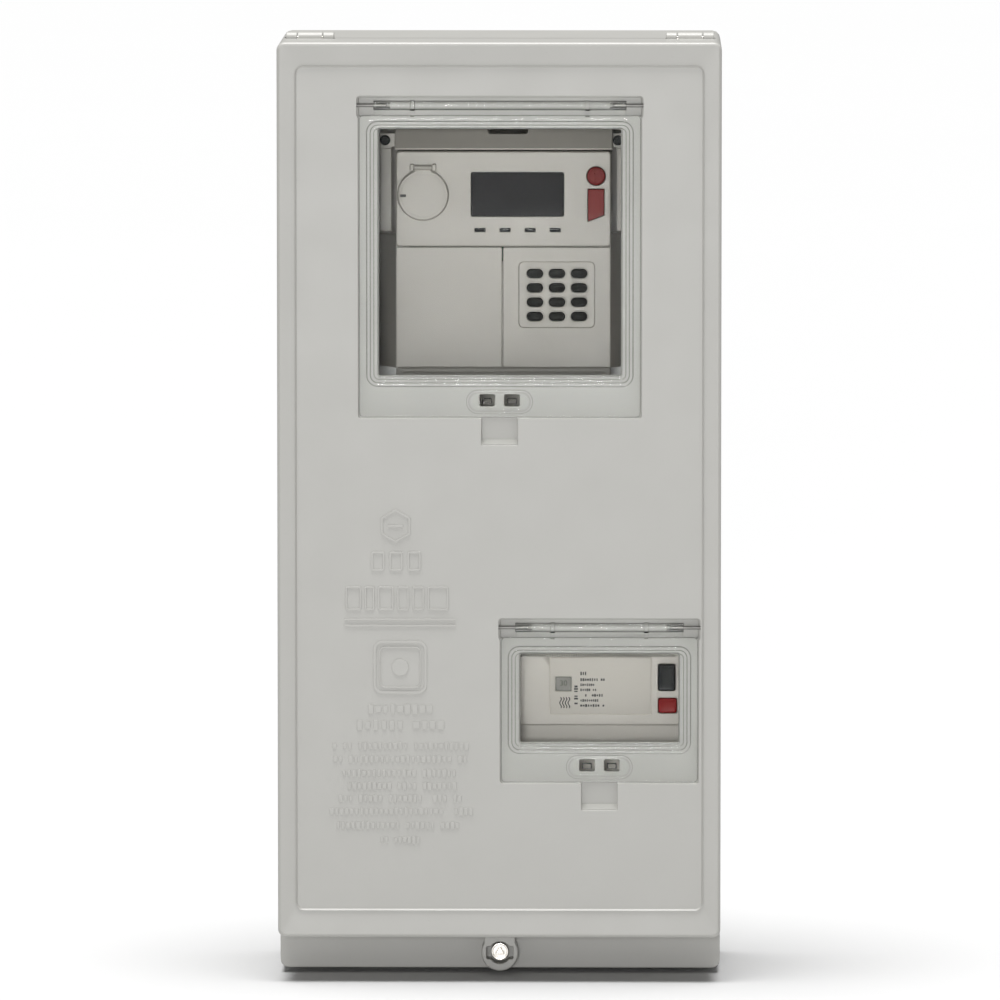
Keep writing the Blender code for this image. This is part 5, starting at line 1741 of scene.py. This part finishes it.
    def build_insides(self) -> None:
        """Build the battery, the board's components, the terminal screws and the terminal cover's ribs."""
        self.build_battery()
        board = Rect.of_node("circuit_board")
        board_front = depth_span("circuit_board")[1]
        finish = self.finishes.component
        parts = BoardParts().grow("board_components", {
            "Width": 0.86 * (board.right - board.left), "Height": 0.5 * (board.top - board.bottom), "Seed": 7,
            "Material": finish})
        moved(soften(parts, 0.2 * MM, 2), board.centre[0], board_front + 1.0 * MM, board.centre[1] + 14 * MM)
        place(parts, Body.HOUSING.value, "circuit", finish)
        terminals, finish = Rect.of_node("terminal_block"), self.finishes.brass
        radius, height = 2.6 * MM, 1.6 * MM
        profile = [(0.0, 0.0), (radius, 0.0), (radius, 1.2 * MM), (2.3 * MM, height), (0.0, height)]
        head = turn("head", profile, (0, 0, 0), (0, -1, 0), 24)
        slot = Rect.around(0, 0, 4.6 * MM, 0.8 * MM).outline(0.05 * MM)
        carve(head, [hollow(slot, 0.8 * MM, height, 0.05 * MM)])
        screws = ScrewRow().grow("terminal_screws", {
            "Count": 4, "Pitch": 27 * MM, "Head": head, "Material": finish})
        bpy.data.objects.remove(head, do_unlink=True)
        place(even_shading(moved(screws, terminals.left + 13.5 * MM, 42 * MM, terminals.bottom + 12 * MM)),
              Body.HOUSING.value, "brass", finish)
        shell = Rect.of_node("terminal_cover")
        front = depth_span("terminal_cover")[1]
        bars = []
        for step in range(4):
            z = shell.top - 1.2 * MM - step * 2.2 * MM
            band = Rect(shell.left + 3 * MM, shell.right - 3 * MM, z - 0.45 * MM, z + 0.45 * MM)
            bars.append(pad("rib", band.outline(0.3 * MM), front - 0.2 * MM, front + 1.0 * MM, 0.3 * MM))
        place(joined("terminal_cover_ribs", bars), Body.HOUSING.value, "meter_case", self.finishes.meter)

    def build_battery(self) -> None:
        """Build the back-up battery with its crimped groove and raised pole."""
        low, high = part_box("backup_battery")
        radius, length = 0.5 * (high[2] - low[2]), high[0] - low[0]
        middle = 0.5 * (low + high)
        profile = [(0.0, 0.0)]
        profile += [(radius - side * MM, along * MM) for side, along in ((1.2, 0.0), (0.3, 0.3), (0.0, 1.2))]
        profile += [(radius - side * MM, length - rest * MM) for side, rest in (
            (0.0, 2.4), (0.5, 2.0), (0.5, 1.6), (0.1, 1.2), (0.8, 0.7))]
        profile += [(3 * MM, length - 0.7 * MM), (2.8 * MM, length), (0.0, length)]
        battery = turn("battery", profile, (low[0], middle[1], middle[2]), (1, 0, 0))
        stand_for(battery, "backup_battery", self.finishes.zinc)


@dataclass
class Breaker:
    """The service breaker: body, cover with vents and label, rating window and dial, buttons and toroid."""

    finishes: Finishes
    label_margins: tuple[float, float] = (18.1 * MM, 16.7 * MM)
    label_span: tuple[float, float] = (-114 * MM, -83.6 * MM)
    groove_width: float = 0.6 * MM
    groove_depth: float = 1.0 * MM
    vent_top: float = -79.0 * MM
    vent_pitch: float = 1.3 * MM
    vent_width: float = 0.7 * MM
    vent_height: float = 4.0 * MM
    ratings: tuple[int, ...] = (30, 25, 20, 15, 10, 5)

    def build(self) -> None:
        """Build every piece of the breaker."""
        fin = self.finishes
        refine("breaker_body", fin.breaker, 0.5 * MM)
        self.build_cover()
        self.build_buttons()
        self.build_rating()
        low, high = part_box("toroid")
        outer, inner, height = 0.5 * (high[0] - low[0]), 11 * MM, high[2] - low[2]
        edge = quarter(2.2 * MM, 5)
        section = [(inner + s, r) for s, r in edge] + [(outer - s, r) for s, r in reversed(edge)]
        section += [(outer - s, height - r) for s, r in edge]
        section += [(inner + s, height - r) for s, r in reversed(edge)]
        stand_for(ring_of("toroid", section, 96, 0.012), "toroid", fin.ferrite)

    def build_cover(self) -> None:
        """Cut the vents and the label's groove into the cover, and add the label with its printed rows."""
        cover = soften(copy_of_node("breaker_cover"), 0.4 * MM)
        front = depth_span("breaker_cover")[1]
        box = Rect.of_node("breaker_cover")
        count = int((box.right - box.left - 4 * MM) / self.vent_pitch)
        comb = SlotComb().grow("vents", {"Count": count, "Pitch": self.vent_pitch, "Bar": self.vent_width,
                                         "Height": self.vent_height, "Relief": 9 * MM,
                                         "Material": self.finishes.breaker})
        moved(comb, box.left + 2.4 * MM, front, self.vent_top - 0.5 * self.vent_height)
        label = Rect(box.left + self.label_margins[0], box.right - self.label_margins[1], *self.label_span)
        outer, inner = label.grown(self.groove_width).outline(0.6 * MM), label.outline(0.5 * MM)
        floor, clear = front - self.groove_depth, front + 1 * MM
        ditch = stack("ditch", [(outer, floor), (outer, clear), (inner, clear), (inner, floor)], True)
        carve(cover, [comb, ditch])
        stand_for(even_shading(cover, 50), "breaker_cover", self.finishes.breaker)
        window = Rect.of_node("rating_window")
        face = front + 0.15 * MM
        sheet = pad("label", label.grown(-0.3 * MM).outline(0.8 * MM), front - 0.1 * MM, face, 0.08 * MM)
        carve(sheet, [hollow(window.grown(0.6 * MM).outline(0.6 * MM), front - 1 * MM, face, 0.05 * MM)])
        place(even_shading(sheet), Body.HOUSING.value, "breaker_case", self.finishes.label)
        self.print_rows(face, label)

    def print_rows(self, depth: float, label: Rect) -> None:
        """Print the label's rows of dashes, its upright row and its three wavy strokes.

        Args:
            depth: Depth of the label's face.
            label: The label's outline.
        """
        rows, ink = GlyphRows(), self.finishes.ink
        left = label.left + 16.2 * MM
        prints = []
        table = ((3.6, 2.0, 3, -8.4), (13.6, 1.7, 11, -11.8), (9.0, 1.5, 8, -14.6), (9.0, 1.5, 8, -17.4),
                 (12.6, 1.5, 10, -20.4), (10.2, 1.5, 9, -23.2), (13.4, 1.6, 10, -26.0))
        for number, (width, height, cells, drop) in enumerate(table):
            row = rows.row(f"row_{number}", (width, height), cells, 0.08 * MM, 0.08, 20 + number, ink)
            prints.append(moved(row, left + 0.5 * width * MM, depth, label.top + drop * MM))
        upright = rows.row("upright_row", (10.6, 2.4), 8, 0.08 * MM, 0.1, 40, ink)
        upright.data.transform(Matrix.Rotation(-math.pi / 2, 4, "Y"))
        prints.append(moved(upright, left - 2.2 * MM, depth, label.top - 20.2 * MM))
        for stroke in range(4):
            x, top = label.left + 5.6 * MM + stroke * 1.5 * MM, label.top - 21.4 * MM
            points = [(x + 0.45 * MM * math.sin(i / 24 * 9.0), top - i / 24 * 6.0 * MM) for i in range(25)]
            width = 0.32 * MM
            outline = [(px - width, pz) for px, pz in points]
            outline += [(px + width, pz) for px, pz in reversed(points)]
            prints.append(stack("stroke", [(outline, depth - 0.04 * MM), (outline, depth + 0.05 * MM)]))
        place(joined("breaker_print", prints), Body.HOUSING.value, "black_plastic", ink)

    def build_buttons(self) -> None:
        """Build the two coupled push buttons with dished, eased faces."""
        fin = self.finishes
        for node, finish, corner in (("on_button", fin.black, 1.0 * MM), ("off_button", fin.red, 1.5 * MM)):
            back, front = depth_span(node)
            box = Rect.of_node(node)
            outline = box.outline(corner)
            levels = [(offset(outline, -0.2 * MM), back), (outline, back + 0.2 * MM)]
            levels += eased(outline, front, 0.7 * MM)
            levels += [(box.grown(-1.5 * MM).outline(0.8 * MM), front),
                       (box.grown(-2.3 * MM).outline(0.8 * MM), front - 0.25 * MM)]
            stand_for(even_shading(stack(node, levels)), node, finish)

    def build_rating(self) -> None:
        """Build the rating window's pane and the dial behind it with its ring of numbers."""
        back, front = depth_span("rating_window")
        pane = pad("pane", Rect.of_node("rating_window").outline(0.5 * MM), back, front, 0.2 * MM, 0.1 * MM)
        stand_for(even_shading(pane), "rating_window", self.finishes.clear)
        back, front = depth_span("rating_dial")
        dial_box = Rect.of_node("rating_dial")
        x, z = dial_box.centre
        radius = 0.5 * (dial_box.right - dial_box.left)
        teeth = 36
        ring = [(x + radius * (1 - 0.03 * (i % 2)) * math.cos(math.pi * i / teeth),
                 z + radius * (1 - 0.03 * (i % 2)) * math.sin(math.pi * i / teeth)) for i in range(2 * teeth)]
        dial = pad("dial", ring, back, front, 0.25 * MM, 0.25 * MM)
        stand_for(even_shading(dial, 60), "rating_dial", self.finishes.dial)
        reach = z - Rect.of_node("rating_window").centre[1]
        numbers = []
        for step, rating in enumerate(self.ratings):
            text = bpy.data.curves.new("number", "FONT")
            text.body = str(rating)
            text.size = 4.2 * MM
            text.align_x, text.align_y = "CENTER", "CENTER"
            text.extrude = 0.04 * MM
            carrier = linked("number", text)
            mesh = bpy.data.meshes.new_from_object(carrier.evaluated_get(bpy.context.evaluated_depsgraph_get()))
            bpy.data.objects.remove(carrier, do_unlink=True)
            mesh.transform(Matrix.Rotation(math.radians(90), 4, "X"))
            mesh.transform(Matrix.Translation((0, 0, -reach)))
            mesh.transform(Matrix.Rotation(math.radians(60 * step), 4, "Y"))
            numbers.append(moved(linked("number", mesh), x, front + 0.02 * MM, z))
        place(joined("rating_numbers", numbers), Body.RATING_DIAL.value, "black_plastic", self.finishes.ink)


@dataclass
class Markings:
    """Low-relief marks moulded on the cover: plain shapes and rows of dashes in place of wording."""

    finishes: Finishes
    depth: float
    relief: float = 0.6 * MM
    column: float = -53.6 * MM

    def outline_mark(self, outline: Outline, width: float) -> Object:
        """Make a raised line that follows an outline."""
        return frame_between("mark", outline, offset(outline, -width), self.depth - 0.1 * MM,
                             self.depth + self.relief, 0.15 * MM)

    def solid_mark(self, outline: Outline) -> Object:
        """Make a raised solid shape."""
        return pad("mark", outline, self.depth - 0.1 * MM, self.depth + self.relief, 0.15 * MM, steps=3)

    def build(self) -> None:
        """Build the marks and the rows of dashes."""
        x = self.column
        marks = [self.outline_mark(disc(x - 2.4 * MM, -7.8 * MM, 9.2 * MM, 6, math.pi / 2), 1.2 * MM),
                 self.solid_mark(Rect.around(x - 2.4 * MM, -7.8 * MM, 8.4 * MM, 1.4 * MM).outline(0.4 * MM))]
        for step in (-1, 0, 1):
            block = Rect.around(x - 2.2 * MM + step * 9.8 * MM, -27 * MM, 7.4 * MM, 10.6 * MM)
            marks.append(self.outline_mark(block.outline(1.4 * MM), 1.1 * MM))
        for step, width in enumerate((8.6, 5.4, 8.6, 6.4, 6.4, 11.5)):
            left = (-83.2 + (0, 10.4, 17.6, 28.0, 36.2, 44.4)[step]) * MM
            block = Rect(left, left + width * MM, -53.6 * MM, -40.6 * MM)
            marks.append(self.outline_mark(block.outline(1.2 * MM), 1.0 * MM))
        for z in (-58.6 * MM, -61.9 * MM):
            marks.append(self.solid_mark(Rect.around(x, z, 60.4 * MM, 1.1 * MM).outline(0.5 * MM)))
        square = Rect.around(x, -84.6 * MM, 29 * MM, 29 * MM)
        marks.append(self.outline_mark(square.outline(5 * MM), 1.5 * MM))
        marks.append(self.outline_mark(square.grown(-3.2 * MM).outline(3 * MM), 0.8 * MM))
        marks.append(self.solid_mark(disc(x, -84.6 * MM, 4.6 * MM)))
        housing = self.finishes.housing
        place(even_shading(joined("cover_marks", marks)), Body.COVER.value, "housing", housing)
        rows = GlyphRows()
        table = ((35.8, 5.6, 9, -107.4, 0.0), (48.3, 5.6, 11, -116.1, 0.0), (74.3, 4.2, 27, -127.6, 0.2),
                 (73.2, 4.2, 26, -134.7, 0.0), (62.4, 4.2, 23, -142.3, -0.6), (59.7, 4.2, 22, -149.3, 1.0),
                 (67.2, 4.2, 25, -156.1, 0.0), (78.1, 4.2, 29, -163.2, 0.6), (70.0, 4.2, 26, -170.8, 0.0),
                 (22.2, 4.2, 9, -178.7, 0.0))
        lines = []
        for number, (width, height, cells, z, shift) in enumerate(table):
            row = rows.row(f"dashes_{number}", (width, height), cells, 2 * self.relief * 0.8, 0.12, 60 + number,
                           housing)
            lines.append(moved(row, x + shift * MM, self.depth, z * MM))
        dashes = soften(joined("cover_dashes", lines), 0.12 * MM, 2)
        place(dashes, Body.COVER.value, "housing", housing)


@dataclass
class Studio:
    """The pale floor, the soft light and the camera."""

    target: tuple[float, float, float] = (-0.35 * MM, -66 * MM, 0.4 * MM)
    azimuth: float = 0.726
    elevation: float = 5.29
    distance: float = 6.0
    lens: float = 395.2
    floor_half: float = 60.0
    sun_strength: float = 5.0
    sky_strength: float = 0.18
    front_power: float = 130.0

    def build_camera(self) -> None:
        """Place the camera."""
        across, up = math.radians(self.azimuth), math.radians(self.elevation)
        back = Vector((math.sin(across) * math.cos(up), -math.cos(across) * math.cos(up), math.sin(up)))
        data = bpy.data.cameras.new("camera")
        data.lens = self.lens
        data.sensor_width = 36.0
        data.clip_start, data.clip_end = 0.1, 300.0
        camera = linked("camera", data)
        camera.location = Vector(self.target) + back * self.distance
        camera.rotation_mode = "QUATERNION"
        camera.rotation_quaternion = (-back).to_track_quat("-Z", "Y")
        bpy.context.scene.camera = camera

    def build_floor(self, finish: Material) -> None:
        """Lay the floor just under the object."""
        level = CAD_BOUNDS[0][2]
        h = self.floor_half
        mesh = bpy.data.meshes.new("floor")
        mesh.from_pydata([(-h, -h, level), (h, -h, level), (h, h, level), (-h, h, level)], [], [(0, 1, 2, 3)])
        mesh.materials.append(finish)
        linked("floor", mesh)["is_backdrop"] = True

    def light(self, name: str, kind: str, energy: float, where: Sequence[float], size: float) -> None:
        """Add one lamp that points at the object.

        Args:
            name: Name of the lamp.
            kind: AREA or SUN.
            energy: Its power.
            where: Its place; a sun shines from there.
            size: Side of an area lamp in metres, or spread of a sun in degrees.
        """
        data = bpy.data.lights.new(name, kind)
        data.energy = energy
        if kind == "SUN":
            data.angle = math.radians(size)
        else:
            data.size = size
        lamp = linked(name, data)
        lamp.location = where
        lamp.rotation_mode = "QUATERNION"
        lamp.rotation_quaternion = (Vector(self.target) - Vector(where)).to_track_quat("-Z", "Y")
        lamp.visible_camera = False

    def build_light(self) -> None:
        """Add the lamps and the sky."""
        self.light("overhead", "SUN", self.sun_strength, (-0.12, -0.3, 3.2), 36)
        self.light("front", "AREA", self.front_power, (-0.25, -6.5, 0.5), 0.8)
        world = bpy.data.worlds.new("studio")
        world.use_nodes = True
        backdrop = world.node_tree.nodes["Background"]
        backdrop.inputs["Color"].default_value = (1.0, 1.0, 1.0, 1.0)
        backdrop.inputs["Strength"].default_value = self.sky_strength
        bpy.context.scene.world = world
        bpy.context.scene.view_settings.view_transform = "Standard"


def write_sizes() -> None:
    """Work out the corners of the CAD box and the visual model's box, which are not kept."""
    corners = [list(map(float, corner)) for corner in (*CAD_BOUNDS, *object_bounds())]


def main() -> None:
    """Build the studio and then the object, from the box outwards."""
    logging.basicConfig(level=logging.INFO, format="%(name)s: %(message)s")
    studio = Studio()
    studio.build_camera()
    finishes = Finishes()
    studio.build_floor(finishes.floor)
    studio.build_light()
    seats = (WindowSeat("upper_window", (10.5 * MM, 10.5 * MM, 22.4 * MM, 16.5 * MM), 47.2 * MM, -0.2 * MM),
             WindowSeat("lower_window", (10.3 * MM, 10.3 * MM, 21.5 * MM, 18.1 * MM), 25.4 * MM))
    enclosure = Enclosure(finishes, seats)
    enclosure.build()
    for seat in seats:
        ClearWindow(finishes, seat).build()
    Meter(finishes).build()
    Breaker(finishes).build()
    Markings(finishes, enclosure.face).build()
    write_sizes()


if __name__ == "__main__":
    main()
